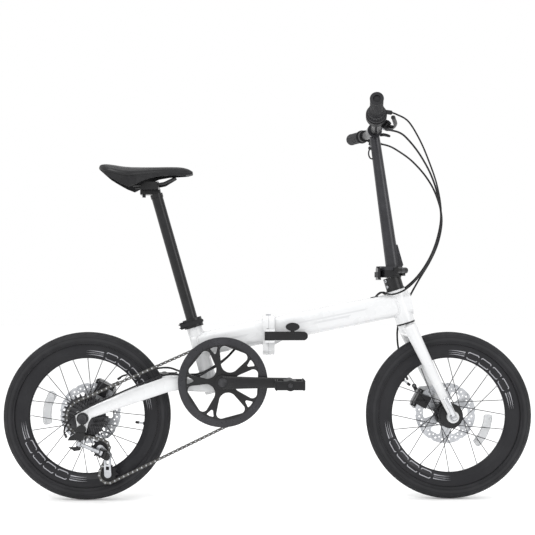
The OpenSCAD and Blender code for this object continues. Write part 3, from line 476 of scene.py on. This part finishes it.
def tyre(x, name, body):
    """A closed tyre: low tread blocks, ringed sidewalls and hooked beads."""
    section = []
    for k in range(-41, 42):
        t = k * 3
        section.append((t, None))
    inner = [(184.8, 14.6), (184.8, 10.0), (178.4, 9.8), (178.4, 7.9),
             (186.6, 12.4)]
    n = 432
    verts, bands = [], []
    for j in range(n):
        a = 2 * math.pi * j / n
        ring = []
        for t, _ in section:
            r = 20.0
            at = abs(t)
            slant = (j + (1 if t > 0 else -1) * (at // 9)) % 6
            if at in (12, 30) or (15 <= at <= 27 and slant == 0):
                r = 18.9
            elif 33 <= at <= 51 and slant in (2, 3):
                r = 19.2
            elif at in (69, 105):
                r = 20.5
            elif 54 <= at < 120:
                r = 19.7
            s = math.radians(t)
            ring.append((196 + r * math.cos(s), r * math.sin(s)))
        ring += [(r, y) for r, y in inner]
        for k in range(-13, 14):
            s = math.radians(-k * 8.6)
            ring.append((196 + 17 * math.cos(s), 17 * math.sin(s)))
        ring += [(r, -y) for r, y in reversed(inner)]
        for r, y in ring:
            verts.append(Vector((x + r * math.cos(a), y, AXLE_Z + r * math.sin(a))))
    m = len(verts) // n
    faces = []
    for j in range(n):
        for i in range(m):
            k = (i + 1) % m
            faces.append((j * m + i, j * m + k, ((j + 1) % n) * m + k,
                          ((j + 1) % n) * m + i))
            if i < len(section) - 1 and 78 <= abs(section[i][0] + 1.5) <= 96:
                bands.append(len(faces) - 1)
    o = make(name, verts, faces, TYRE, body, slot="tyre_rubber", angle=34)
    o.data.materials.append(SIDEWALL)
    for f in bands:
        o.data.polygons[f].material_index = 1
    return o


def spokes(x, yl, yr, sr, name, body):
    wires, nipples = [], []
    for k in range(6):
        for side in (0, 1):
            a = 60 * k + 15 * side
            y, o = (yr, -1) if side == 0 else (yl, 1)
            for a0, a1, sy in ((a, a - 60, 1), (a + 30, a + 90, -1)):
                hub = on_wheel(x, sr, a0, y + sy * 2.2 * o)
                other = on_wheel(x, sr, a0, y - sy * 2.0 * o)
                rim = on_wheel(x, 146, a1, 0)
                d = (rim - hub).normalized()
                wires.append(sweep([other, other.lerp(hub, 0.7),
                                    hub + d * 1.5, hub + d * 5,
                                    rim - d * 3], [1.7, 1.0, 1.0, 1.0, 1.0], 8))
                out = (on_wheel(x, 1, a1, 0) - Vector((x, 0, AXLE_Z))).normalized()
                nipples.append(sweep([rim - d * 6, rim - d * 5.4, rim - d * 0.2,
                                      rim + out * 3], [1.45, 1.7, 2.0, 2.0], 8))
    o = make(name, *join(*wires), SPOKE, body, slot="steel")
    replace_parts(o, name.replace("_wires", ""))
    make(name + "_nipples", *join(*nipples), NIPPLE, body, slot="steel", angle=60)


def arc_plate(x, r0, r1, a0, a1, y0, y1, n=40):
    """A plate between two radii with rounded ends."""
    rings = []
    for j in range(n + 1):
        u = j / n
        edge = min(u, 1 - u) * (a1 - a0)
        k = 1.0
        if edge <= 3:
            k = math.sqrt(max(0.0, 1 - ((3 - edge) / 3) ** 2)) * 0.55 + 0.45
        mid, half = (r0 + r1) / 2, (r1 - r0) / 2 * k
        a = a0 + (a1 - a0) * u
        pts = [(mid - half, y0), (mid + half, y0), (mid + half, y1 - 0.8),
               (mid + half - 0.8, y1), (mid - half + 0.8, y1), (mid - half, y1 - 0.8)]
        rings.append([on_wheel(x, r, a, y) for r, y in pts])
    return skin(rings)


def reflector(x, centre, y, name, body):
    """A clear curved reflector on a frame of the same clear material, clipped to the spokes."""
    a0, a1 = centre - 23.5, centre + 23.5
    make(name + "_frame", *join(
        arc_plate(x, 96, 119, a0, a1, y + 1, y + 3.6),
        arc_plate(x, 100, 104, a0 + 4, a0 + 9, y - 3, y + 1.2, 6),
        arc_plate(x, 111, 115, a1 - 9, a1 - 4, y - 3, y + 1.2, 6)),
        REFLECTOR, body, slot="black_plastic")
    make(name + "_lens", *join(
        arc_plate(x, 97.6, 117.4, a0 + 1, a1 - 1, y + 3, y + 5),
        arc_plate(x, 97.6, 117.4, a0 + 1, a1 - 1, y + 1.6, y + 0.2)),
        REFLECTOR, body, slot="black_plastic")


def rim_print(x, name, body):
    """Outlined rounded bars and fading arcs on both side walls."""
    parts = []

    def strip(inner, outer, side):
        verts, faces = [], []
        for p, q in zip(inner, outer):
            for r, a in (p, q):
                verts.append(on_wheel(x, r, a, side * (rim_side(r) + 0.1)))
        for i in range(len(inner) - 1):
            faces.append((2 * i, 2 * i + 1, 2 * i + 3, 2 * i + 2))
        parts.append((verts, faces))

    for side in (-1, 1):
        for mid in (48, 228):
            for box in (-19.2, -6.4, 6.4, 19.2):
                loop = []
                for cr, ca, t0 in ((168, 3.9, 0), (157, 3.9, 90),
                                   (157, -3.9, 180), (168, -3.9, 270)):
                    for i in range(7):
                        t = math.radians(t0 + 15 * i)
                        loop.append((cr, mid + box + ca, math.sin(t), math.cos(t)))
                loop.append(loop[0])
                inner = [(r + 2.0 * nr, a + 0.7 * na) for r, a, na, nr in loop]
                outer = [(r + 4.2 * nr, a + 1.5 * na) for r, a, na, nr in loop]
                strip(inner, outer, side)
            for sign in (-1, 1):
                for r in (158, 163, 168):
                    ts = [i / 14 for i in range(15)]
                    inner = [(r - 1.3 * (1 - t), mid + sign * (27 + 16 * t))
                             for t in ts]
                    outer = [(r + 1.3 * (1 - t), mid + sign * (27 + 16 * t))
                             for t in ts]
                    strip(inner, outer, side)
    make(name, *join(*parts), DECAL, body, slot="black_paint")


def valve(x, a_deg, name, body):
    a = math.radians(a_deg)
    out = Vector((math.sin(a), 0, math.cos(a)))
    base = Vector((x, 0, AXLE_Z))
    core = [base + out * 180]
    rs = [2.6]
    for i in range(33):
        core.append(base + out * (150 - i * 0.5))
        rs.append(2.75 if i % 2 else 2.45)
    make(name + "_stem", *sweep(core, rs, 16), STEEL, body, slot="steel", angle=70)
    cap = [(2.2, 0), (3.5, 0), (3.6, 2), (3.4, 8), (2.6, 9.4), (0.8, 9.8)]
    make(name + "_cap", *join(
        place(turned(cap, 20), base + out * 135, -out),
        place(turned([(3, 0), (4.6, 0.2), (4.6, 2.2), (3, 2.4)], 6),
              base + out * 148.2, -out)),
        PLASTIC, body, slot="black_plastic")


for end, x, yl, yr, refl, ry, sr, va in (
        ("front", FRONT_X, 25, -28, -24, 14, 30, -52.5),
        ("rear", REAR_X, 30, -26, -190, 14.6, 21, 98)):
    body = end + "_wheel"
    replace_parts(tyre(x, end + "_tyre_tread", body), end + "_tyre")
    spokes(x, yl, yr, sr, end + "_spokes_wires", body)
    reflector(x, refl, ry, end + "_reflector", body)
    rim_print(x, end + "_rim_print", body)
    valve(x, va, end + "_valve", body)
    r = 27 if end == "front" else 16
    parts = []
    for y in (yl - 1.6, yr + 1.6):
        parts.append(place(turned([(r, -1.2), (r + 3, -1.2), (r + 4.5, 0),
                                   (r + 3, 1.2), (r, 1.2)]),
                           (x, y, AXLE_Z), (0, 1, 0)))
    make(end + "_hub_fillets", *join(*parts), BLACK, body, slot="black_paint")
    y = 40 if end == "front" else 48
    bolts = [place(hexagon(3.6, 2.6), on_wheel(x, 19, 60 * k + 26, y + 0.9), (0, 1, 0))
             for k in range(6)]
    make(end + "_disc_bolts", *join(*bolts), DARK, body, slot="dark_steel")


# -------------------------------------------------------------------- chain
def tangent(c1, r1, c2, r2):
    d = c2 - c1
    return math.atan2(d.y, d.x), math.acos((r1 - r2) / d.length)


def chain_path():
    cr, cs = Vector((BB.x, BB.z)), Vector((REAR_X, AXLE_Z))
    g, t = Vector((GUIDE.x, GUIDE.z)), Vector((TENSION.x, TENSION.z))
    rr, rs, rp = gear_r(52), gear_r(22), gear_r(11)
    pi = math.pi
    ua, ub = tangent(cs, rs, cr, rr)
    la, lb = tangent(t, rp, cr, rr)
    top, bot = ua + ub, la - lb
    d1, d2 = g - cs, t - g
    c1 = math.atan2(d1.y, d1.x) - math.acos((rs + rp) / d1.length)
    c2 = math.atan2(d2.y, d2.x) + math.acos((rp + rp) / d2.length)

    def arc(c, r, a0, a1):
        return [c + r * Vector((math.cos(a0 + (a1 - a0) * i / 60),
                                math.sin(a0 + (a1 - a0) * i / 60)))
                for i in range(61)]

    return (arc(cr, rr, top, bot) + arc(t, rp, bot + 2 * pi, c2 + pi)
            + arc(g, rp, c2, c1 + pi) + arc(cs, rs, c1 + 2 * pi, top))


def resample(path, n):
    pts = path + [path[0]]
    lens = [(pts[i + 1] - pts[i]).length for i in range(len(pts) - 1)]
    step = sum(lens) / n
    out, i, at = [], 0, 0.0
    for k in range(n):
        want = k * step
        while i < len(lens) - 1 and at + lens[i] < want:
            at += lens[i]
            i += 1
        u = (want - at) / lens[i] if lens[i] else 0
        out.append(pts[i].lerp(pts[i + 1], min(1, u)))
    return out, sum(lens)


def link_plate(p, q, y0, y1):
    d = (q - p).normalized()
    w = Vector((-d.y, d.x))
    outline = []
    for c, sign in ((q, 1), (p, -1)):
        for k in range(9):
            a = math.radians(-70 + 140 * k / 8)
            v = c + sign * (math.cos(a) * d + math.sin(a) * w) * 4.1
            outline.append(v)
        mid = (p + q) / 2 + sign * w * 2.9
        outline.append(mid)
    rings = [[Vector((v.x, y, v.y)) for v in outline] for y in (y0, y1)]
    return skin(rings)


def chain_links():
    path = chain_path()
    _, total = resample(path, 10)
    n = 2 * round(total / PITCH / 2)
    pts, _ = resample(path, n)
    plates, rollers = [], []
    for i, p in enumerate(pts):
        q = pts[(i + 1) % n]
        off = 3.35 if i % 2 else 2.35
        for s in (-1, 1):
            y = CHAIN_Y + s * off
            plates.append(link_plate(p, q, y - 0.42, y + 0.42))
        at = Vector((p.x, CHAIN_Y, p.y))
        rollers.append(place(turned([(1.2, -4.2), (1.8, -3.9), (1.8, -1.9), (3.8, -1.9),
                                     (3.8, 1.9), (1.8, 1.9), (1.8, 3.9), (1.2, 4.2)],
                                    12), at, (0, 1, 0)))
    o = make("chain_links", *join(*plates), CHAIN, "rear_frame", slot="dark_steel",
             angle=30)
    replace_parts(o, "chain")
    make("chain_rollers", *join(*rollers), STEEL, "rear_frame", slot="steel")


chain_links()

# ------------------------------------------------------------------- saddle
SADDLE = [(-440, 26, 861, 857), (-434, 46, 866.5, 853), (-420, 62, 867.5, 846),
          (-400, 70, 865, 841), (-378, 72, 861.5, 836), (-358, 70, 860, 834),
          (-340, 63, 860, 836), (-318, 50, 860.5, 840), (-290, 36, 861.5, 844.5),
          (-262, 27, 862.5, 846.5), (-232, 22, 862, 846.5),
          (-212, 19, 858, 846.5), (-199, 13, 851, 845)]


def saddle_at(u):
    """Section at u from 0 to 1 along the saddle: x, half width, top, edge."""
    f = u * (len(SADDLE) - 1)
    i = min(int(f), len(SADDLE) - 2)
    t = f - i

    def pick(j):
        return SADDLE[max(0, min(j, len(SADDLE) - 1))]

    return [0.5 * (2 * b + (c - a) * t + (2 * a - 5 * b + 4 * c - d) * t * t
                   + (3 * b - a - 3 * c + d) * t ** 3)
            for a, b, c, d in zip(pick(i - 1), pick(i), pick(i + 1), pick(i + 2))]


def power(c, e):
    return math.copysign(abs(c) ** (2 / e), c)


def saddle_point(u, deg, lift=0.0):
    x, w, t, b = saddle_at(u)
    a = math.radians(deg)
    y = (w + lift) * power(math.cos(a), 2.8)
    z = b + (t - b + lift) * power(math.sin(a), 2.4)
    # shallow hollow along the middle of the rear half
    dip = math.exp(-((deg - 90) / 15) ** 2) * math.sin(math.pi * min(1, max(
        0, (u - 0.06) / 0.8))) * 1.6
    return Vector((x, y, z - dip))


def saddle_cover():
    rings = []
    m = 96
    for j in range(m + 1):
        u = j / m
        ring = []
        for k in range(61):
            deg = 180 * k / 60
            seam = min(abs(deg - 34), abs(deg - 146))
            ring.append(saddle_point(u, deg, -0.7 if seam < 2 else 0.0))
        x, w, _, b = saddle_at(u)
        for y in (-w + 1.2, -w + 4):
            ring.append(Vector((x, y, b - (1.6 if y < -w + 2 else 1.0))))
        for y in (w - 4, w - 1.2):
            ring.append(Vector((x, y, b - (1.6 if y > w - 2 else 1.0))))
        rings.append(ring)
    o = make("saddle_padding", *skin(rings), VINYL, "seat", slot="saddle_vinyl",
             angle=60)
    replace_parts(o, "saddle_cover")
    stitches = []
    for deg in (31, 149):
        for k in range(70):
            u = 0.05 + 0.9 * k / 70
            p = saddle_point(u, deg, 0.1)
            q = saddle_point(u + 0.9 / 70 * 0.6, deg, 0.1)
            stitches.append(sweep([p, p.lerp(q, 0.5) + Vector((0, 0, 0.35)), q],
                                  0.42, 6))
    make("saddle_stitching", *join(*stitches), THREAD, "seat", slot="saddle_vinyl")


saddle_cover()

# --------------------------------------------------------------- handlebars


def bar_frame(y0, y1):
    return bar_pt(y0), bar_pt(y1) - bar_pt(y0)


def grip(sign, y0):
    p, d = bar_frame(sign * y0, sign * 280)
    length = d.length
    profile = [(11.2, -0.2), (17.4, -0.2), (18.4, 0.8), (18.4, 3.4), (17.2, 4.2)]
    z = 5.0
    while z < length - 8:
        profile += [(15.2, z), (16.0, z + 0.5), (16.0, z + 2.4), (15.2, z + 2.9)]
        z += 3.6
    profile += [(16.4, length - 5), (16.6, length - 1.5), (15.4, length),
                (9.4, length + 0.2), (8.9, length - 0.4), (8.9, length - 4)]
    return place(turned(profile, 40), p, d)


o = make("grip_sleeves", *join(grip(-1, 193), grip(1, 152)), RUBBER, "handlepost",
         slot="grip_rubber", angle=35)
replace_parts(o, "grips")

p, d = bar_frame(-161, -190.4)
rings = []
for z, r, ribs in ((0, 12, 0), (0.1, 23, 0), (1.2, 24, 0), (9, 24, 0), (11, 22, 0),
                   (11.6, 20, 0.7), (28.6, 20, 0.7), (29.4, 19, 0), (29.5, 12, 0)):
    rings.append([Vector(((r + ribs * math.cos(20 * 2 * math.pi * k / 160))
                          * math.cos(2 * math.pi * k / 160),
                          (r + ribs * math.cos(20 * 2 * math.pi * k / 160))
                          * math.sin(2 * math.pi * k / 160), z)) for k in range(160)])
o = make("shifter_barrel", *place(skin(rings), p, d), RUBBER, "shifter",
         slot="grip_rubber", angle=35)
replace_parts(o, "shifter")


def ribbon(path, up, widths, thicks, n=20, e=2.6):
    """An oval bar along a path: widths along up, thicks square to it."""
    pts = [Vector(q) for q in path]
    rings = []
    for i, q in enumerate(pts):
        t = (pts[min(i + 1, len(pts) - 1)] - pts[max(i - 1, 0)]).normalized()
        u = (Vector(up) - Vector(up).dot(t) * t).normalized()
        w = t.cross(u)
        rings.append([q + widths[i] / 2 * power(math.cos(2 * math.pi * k / n), e) * u
                      + thicks[i] / 2 * power(math.sin(2 * math.pi * k / n), e) * w
                      for k in range(n)])
    return skin(rings)


def brake_lever(side, name, node):
    path = smooth_path([lever_pt(side, a, f) for a, f in
                        ((1, 31), (10, 42), (22, 50.5), (38, 55.5), (58, 56.5),
                         (78, 53), (94, 49))], 5)
    n = len(path)
    widths = [9.6 + 1.6 * math.sin(math.pi * i / (n - 1)) for i in range(n)]
    thicks = [8.2 - 3.0 * math.sin(math.pi * min(1, 1.3 * i / (n - 1)))
              for i in range(n)]
    ball = turned([(5.6 * math.sin(math.pi * k / 12) + 0.01,
                    -5.6 * math.cos(math.pi * k / 12)) for k in range(13)], 24)
    pivot = lever_pt(side, 0, 30)
    o = make(name, *join(
        ribbon(path, LEVER_N, widths, thicks),
        place(ball, lever_pt(side, 96, 48.6), LEVER_N),
        place(turned([(2.5, -4.9), (6.6, -4.9), (7.4, -4.2), (7.4, 4.2), (6.6, 4.9),
                      (2.5, 4.9)], 32), pivot, LEVER_N)),
        BLACK, node, slot="black_paint")
    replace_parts(o, node)
    make(name + "_pin", *join(place(hexagon(3.9, 2.2), pivot + LEVER_N * 11, LEVER_N),
                              place(hexagon(3.9, 2.2), pivot - LEVER_N * 11, -LEVER_N)),
         STEEL, "handlepost", slot="steel")


brake_lever(-1, "lever_blade_right", "brake_lever_right")
brake_lever(1, "lever_blade_left", "brake_lever_left")

parts = []
for s in (-1, 1):
    start = lever_pt(s, -22, 34)
    aim = (Vector((330, s * 100, 938)) - start).normalized()
    parts.append(place(turned([(2.6, 0), (4.6, 0), (4.9, 1), (4.9, 6), (4.3, 7),
                               (4.3, 9), (3.6, 10), (3.3, 16), (2.7, 16.5)], 16),
                       start - aim * 1, aim))
make("lever_adjusters", *join(*parts), DARK, "handlepost", slot="dark_steel")

# bolts that close the handlebar clamp, a hook for luggage behind the post
bolts = [place(hexagon(3.6, 3.4), BAR_C + Vector((17.5, y, 7)), (1, 0, 0.35))
         for y in (-12, 12)]
make("bar_clamp_bolts", *join(*bolts), STEEL, "handlepost", slot="steel")
hook = smooth_path([(273, 0, 916), (267.5, 0, 913), (264, 0, 905), (264.5, 0, 895),
                    (268.5, 0, 888), (275, 0, 886)], 6)
make("post_hook", *sweep(hook, 1.9, 12), PLASTIC, "handlepost", slot="black_plastic")
make("clamp_lever", *join(
    ribbon(smooth_path([(292, -13, 947), (300, -15, 948), (309, -15.5, 946.5),
                        (319, -15, 943.5)], 4), (0, 0, 1),
           [7, 8, 8.5, 8.5, 8.5, 8.5, 8, 8, 8, 8, 7.5, 6.5, 4.5],
           [4, 4, 4, 4, 4, 4, 4, 4, 4, 4, 4, 3.6, 2.6])),
    BLACK, "handlepost", slot="black_paint")

# ------------------------------------------------------------------- cables
REAR_BRAKE = [(302, -103, 945), (330, -100, 938), (352, -86, 925), (385, -62, 893),
              (418, -38, 846), (440, -20, 795), (452, -8, 735), (444, 4, 676),
              (424, 16, 622), (392, 27, 574), (352, 33, 540), (318, 29, 528),
              (298, 14, 535), (284, 5, 527), (277, 3.4, 514), (262, 3.2, 490),
              (20, 12, 438), (-20, 12, 432), (-60, 6, 412), (-86, 0, 390),
              (-108, -9, 367), (-136, -22, 347), (-158, -28, 334), (-178, -28, 326),
              (-205, -22, 322), (-235, -8, 332), (-262, 14, 338), (-300, 32, 334),
              (-350, 44, 322), (-385, 60, 314), (-401, 69.5, 304)]
SHIFT = [(303, -129, 984), (320, -122, 980), (352, -104, 966), (384, -80, 925),
         (410, -60, 876), (436, -40, 812), (449, -26, 742), (441, -20, 676),
         (421, -24, 620), (388, -30, 574), (352, -32, 541), (318, -29, 529),
         (298, -14, 535), (284, -5, 527), (277, -3.4, 514), (262, -3.2, 490),
         (20, 4, 440), (-20, 4, 434), (-60, -1, 412), (-85, -7, 389),
         (-107, -16, 366), (-132, -29, 346), (-156, -34.5, 333), (-180, -35, 320),
         (-212, -38, 321), (-262, -52, 324), (-330, -63, 300), (-400, -73, 270),
         (-450, -79, 247), (-488, -80, 226), (-508, -80, 205), (-514, -80, 184),
         (-508, -80, 169)]
FRONT_BRAKE = [(302, 103, 945), (330, 100, 938), (352, 88, 924), (388, 66, 892),
               (423, 46, 846), (447, 32, 796), (460, 22, 735), (452, 20, 676),
               (431, 25, 622), (398, 34, 565), (374, 38, 520), (357, 38, 480),
               (344, 37, 444), (343, 37, 404), (352, 46, 360), (364, 60, 322),
               (374, 66, 302)]


def cable_piece(name, pts, lo, hi, r, bodies):
    """The stretch of a cable from point lo to point hi."""
    steps = 6
    whole = smooth_path(pts, steps)
    piece = whole[lo * steps:hi * steps + 1]
    o = make(name, *sweep(piece, r, 14), HOSE,
             bodies[0] if len(bodies) == 1 else None, slot="cable_housing")
    if len(bodies) == 2:
        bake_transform(o)
    return o


for name, pts, r in (("rear_brake", REAR_BRAKE, 2.5), ("shift", SHIFT, 2.2)):
    first = cable_piece(name + "_hose_bar", pts, 0, 8, r, ("handlepost", "fork"))
    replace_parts(first, name + "_cable")
    cable_piece(name + "_hose_steer", pts, 8, 14, r, ("fork", "front_frame"))
    cable_piece(name + "_hose_front", pts, 14, 16, r, ("front_frame",))
    cable_piece(name + "_hose_hinge", pts, 16, 17, r, ("front_frame", "rear_frame"))
    cable_piece(name + "_hose_rear", pts, 17, len(pts) - 1, r, ("rear_frame",))
first = cable_piece("front_brake_hose_bar", FRONT_BRAKE, 0, 8, 2.5,
                    ("handlepost", "fork"))
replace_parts(first, "front_brake_cable")
cable_piece("front_brake_hose_fork", FRONT_BRAKE, 8, 16, 2.5, ("fork",))


def ferrule(at, toward, r=3.2, length=11):
    at, toward = Vector(at), Vector(toward)
    return place(turned([(r - 0.8, 0), (r, 0.6), (r, length - 2), (r - 0.7, length),
                         (1.6, length)], 18), at, toward - at)


make("rear_ferrules", *join(ferrule(REAR_BRAKE[-1], REAR_BRAKE[-2]),
                            ferrule(SHIFT[-1], SHIFT[-2])),
     DARK, "rear_frame", slot="dark_steel")
make("front_ferrule", *ferrule(FRONT_BRAKE[-1], FRONT_BRAKE[-2]), DARK, "fork",
     slot="dark_steel")
make("cable_grommet", *place(block((22, 18, 5), 2.5), (277, 0, 521.5),
                             (-math.sin(TUBE_A), 0, math.cos(TUBE_A)), (1, 0, 0)),
     PLASTIC, "front_frame", slot="black_plastic")


# -------------------------------------------------------------- frame details
def section_points(n_per=14):
    """The main tube's outline as offsets up and across."""
    out = []
    h, w, r = 62.5 / 2, 45 / 2, 19
    for cu, cv, a0 in ((h - r, w - r, 0), (-h + r, w - r, 90),
                       (-h + r, -w + r, 180), (h - r, -w + r, 270)):
        for k in range(n_per + 1):
            a = math.radians(a0 + 90 * k / n_per)
            out.append((cu + r * math.cos(a), cv + r * math.sin(a)))
    return out


TUBE_N = Vector((-math.sin(TUBE_A), 0, math.cos(TUBE_A)))


def cut_cylinder(p0, axis_p, axis_d, r, nearer):
    """Where the tube's line through p0 meets a cylinder."""
    q = p0 - axis_p
    a = TUBE_DIR - TUBE_DIR.dot(axis_d) * axis_d
    b = q - q.dot(axis_d) * axis_d
    qa, qb, qc = a.dot(a), 2 * a.dot(b), b.dot(b) - r * r
    disc = max(0.0, qb * qb - 4 * qa * qc)
    t = (-qb - nearer * math.sqrt(disc)) / (2 * qa)
    return p0 + t * TUBE_DIR


def bead(points, r=2.0):
    """A weld bead round a closed loop, with its ripples."""
    pts = [Vector(p) for p in points]
    pts.append(pts[0])
    dense = []
    for a, b in zip(pts, pts[1:]):
        n = max(1, int((b - a).length / 1.1))
        dense += [a.lerp(b, i / n) for i in range(n)]
    m = len(dense)
    rings = []
    for i, p in enumerate(dense):
        t = (dense[(i + 1) % m] - dense[i - 1])
        t = t.normalized() if t.length > 1e-6 else Vector((0, 0, 1))
        u = t.cross(Vector((0.3, 0.1, 0.9))).normalized()
        w = t.cross(u)
        rr = r + 0.22 * math.sin(i * 2 * math.pi / 3.2)
        rings.append([p + rr * (math.cos(2 * math.pi * k / 10) * u
                                + math.sin(2 * math.pi * k / 10) * w)
                      for k in range(10)])
    return skin(rings, closed=True)


outline = section_points()
base = [TUBE_P + u * TUBE_N + Vector((0, v, 0)) for u, v in outline]
head_weld = [cut_cylinder(p, STEER_P, STEER_DIR, 24.2, 1) for p in base]
seat_weld = []
for p in base:
    q = cut_cylinder(p, SEAT_TOP, SEAT_DIR, 20.2, -1)
    back = p + TUBE_DIR * ((-195.5 - p.x) / TUBE_DIR.x)
    seat_weld.append(q if q.x > back.x else back)
plate_front = [p + TUBE_DIR * ((15.6 - p.x) / TUBE_DIR.x) for p in base]
plate_rear = [p + TUBE_DIR * ((-15.6 - p.x) / TUBE_DIR.x) for p in base]
make("front_weld_beads", *join(bead(head_weld, 2.2), bead(plate_front, 1.8)),
     WHITE, "front_frame", slot="white_paint", angle=70)
make("rear_weld_beads", *join(bead(seat_weld, 2.2), bead(plate_rear, 1.8)),
     WHITE, "rear_frame", slot="white_paint", angle=70)


def tube_stripe(x0, x1, up0, up1, lean=10):
    """A thin printed bar on the tube's right flank."""
    parts = []
    for s in (-1, 1):
        y = s * (22.5 + 0.08)
        pts = []
        for x, u in ((x0, up0), (x1, up0), (x1 + lean, up1), (x0 + lean, up1)):
            pts.append(TUBE_P + TUBE_DIR * (x / TUBE_DIR.x) + u * TUBE_N
                       + Vector((0, y, 0)))
        parts.append((pts, [(0, 1, 2, 3)]))
    return join(*parts)


make("front_tube_print", *join(tube_stripe(70, 250, 3, 7),
                               tube_stripe(110, 205, -6, -1)), PRINT, "front_frame", smooth=False, slot="white_paint")
make("rear_tube_print", *tube_stripe(-150, -60, -2, 3), PRINT, "rear_frame",
     smooth=False, slot="white_paint")


# brake bolts
def caliper_frame(x, y, deg):
    a = math.radians(deg)
    return (Vector((x, y, AXLE_Z)) + 75 * Vector((math.cos(a), 0, math.sin(a))),
            Vector((math.cos(a), 0, math.sin(a))),
            Vector((-math.sin(a), 0, math.cos(a))))


for end, x, y, deg, tilt, owner in (("rear", REAR_X, 48, 64, -44, "rear_frame"),
                                    ("front", FRONT_X, 40, 151, -35, "fork")):
    o0, ex, ez = caliper_frame(x, y, deg)
    make(end + "_caliper_bolts", *join(*[
        place(hexagon(4.4, 4.6),
              o0 + 8 * ex + 19 * Vector((0, 1, 0)) + z * ez, (0, 1, 0))
        for z in (-19.5, 19.5)]), STEEL, owner, slot="steel")
    t = math.radians(tilt)
    ax = ex * math.cos(t) + ez * math.sin(t)
    pivot = o0 - 5 * ex + 23.4 * Vector((0, 1, 0))
    make(end + "_arm_bolts", *join(
        place(hexagon(5.6, 3.6), pivot, (0, 1, 0)),
        place(hexagon(4.2, 4.4), pivot + 40 * ax, (0, 1, 0))),
        STEEL, end + "_caliper_arm", slot="steel")

# chainring bolts and stem pinch bolts
bolts = []
for k in range(5):
    a = math.radians(72 * k + 33)
    for turn in (-0.17, 0.17):
        c = BB + 90.5 * Vector((math.cos(a + turn), 0, math.sin(a + turn)))
        bolts.append(place(hexagon(2.4, 1.0), (c.x, -53, c.z), (0, -1, 0)))
make("chainring_bolts", *join(*bolts), DARK, "cranks", slot="dark_steel")
make("stem_pinch_bolts", *join(
    place(hexagon(3.8, 3.2), STEER_P + STEER_DIR * 97 + Vector((-19.4, -12.6, 0)),
          (-0.8, -0.6, -0.2)),
    place(hexagon(3.8, 3.2), STEER_P + STEER_DIR * 112 + Vector((-19.4, -12.6, 0)),
          (-0.8, -0.6, -0.2))), STEEL, "fork", slot="steel")

# front quick release lever
lean = math.radians(24)
up = Vector((-math.sin(lean), 0, math.cos(lean)))
across_dir = Vector((math.cos(lean), 0, math.sin(lean)))
root = Vector((FRONT_X, -75.5, AXLE_Z))
path, widths, thicks = [], [], []
for i in range(25):
    s = i / 24
    path.append(root + up * (6 + 52 * s) + Vector((0, -3.6 - 1.6 * math.sin(
        math.pi * s), 0)))
    widths.append((9.5 + 5 * s) * (1 if s < 0.9 else math.sqrt(
        max(0.02, 1 - ((s - 0.9) / 0.1) ** 2))))
    thicks.append(5.2 if s < 0.95 else 3.6)
o = make("axle_lever_blade", *join(
    ribbon(path, across_dir, widths, thicks),
    place(turned([(2.6, -6), (6.2, -6), (6.9, -5.2), (6.9, 5.2), (6.2, 6),
                  (2.6, 6)], 32), root, across_dir)),
    CHROME, "front_axle_lever", slot="steel")
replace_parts(o, "front_axle_lever")
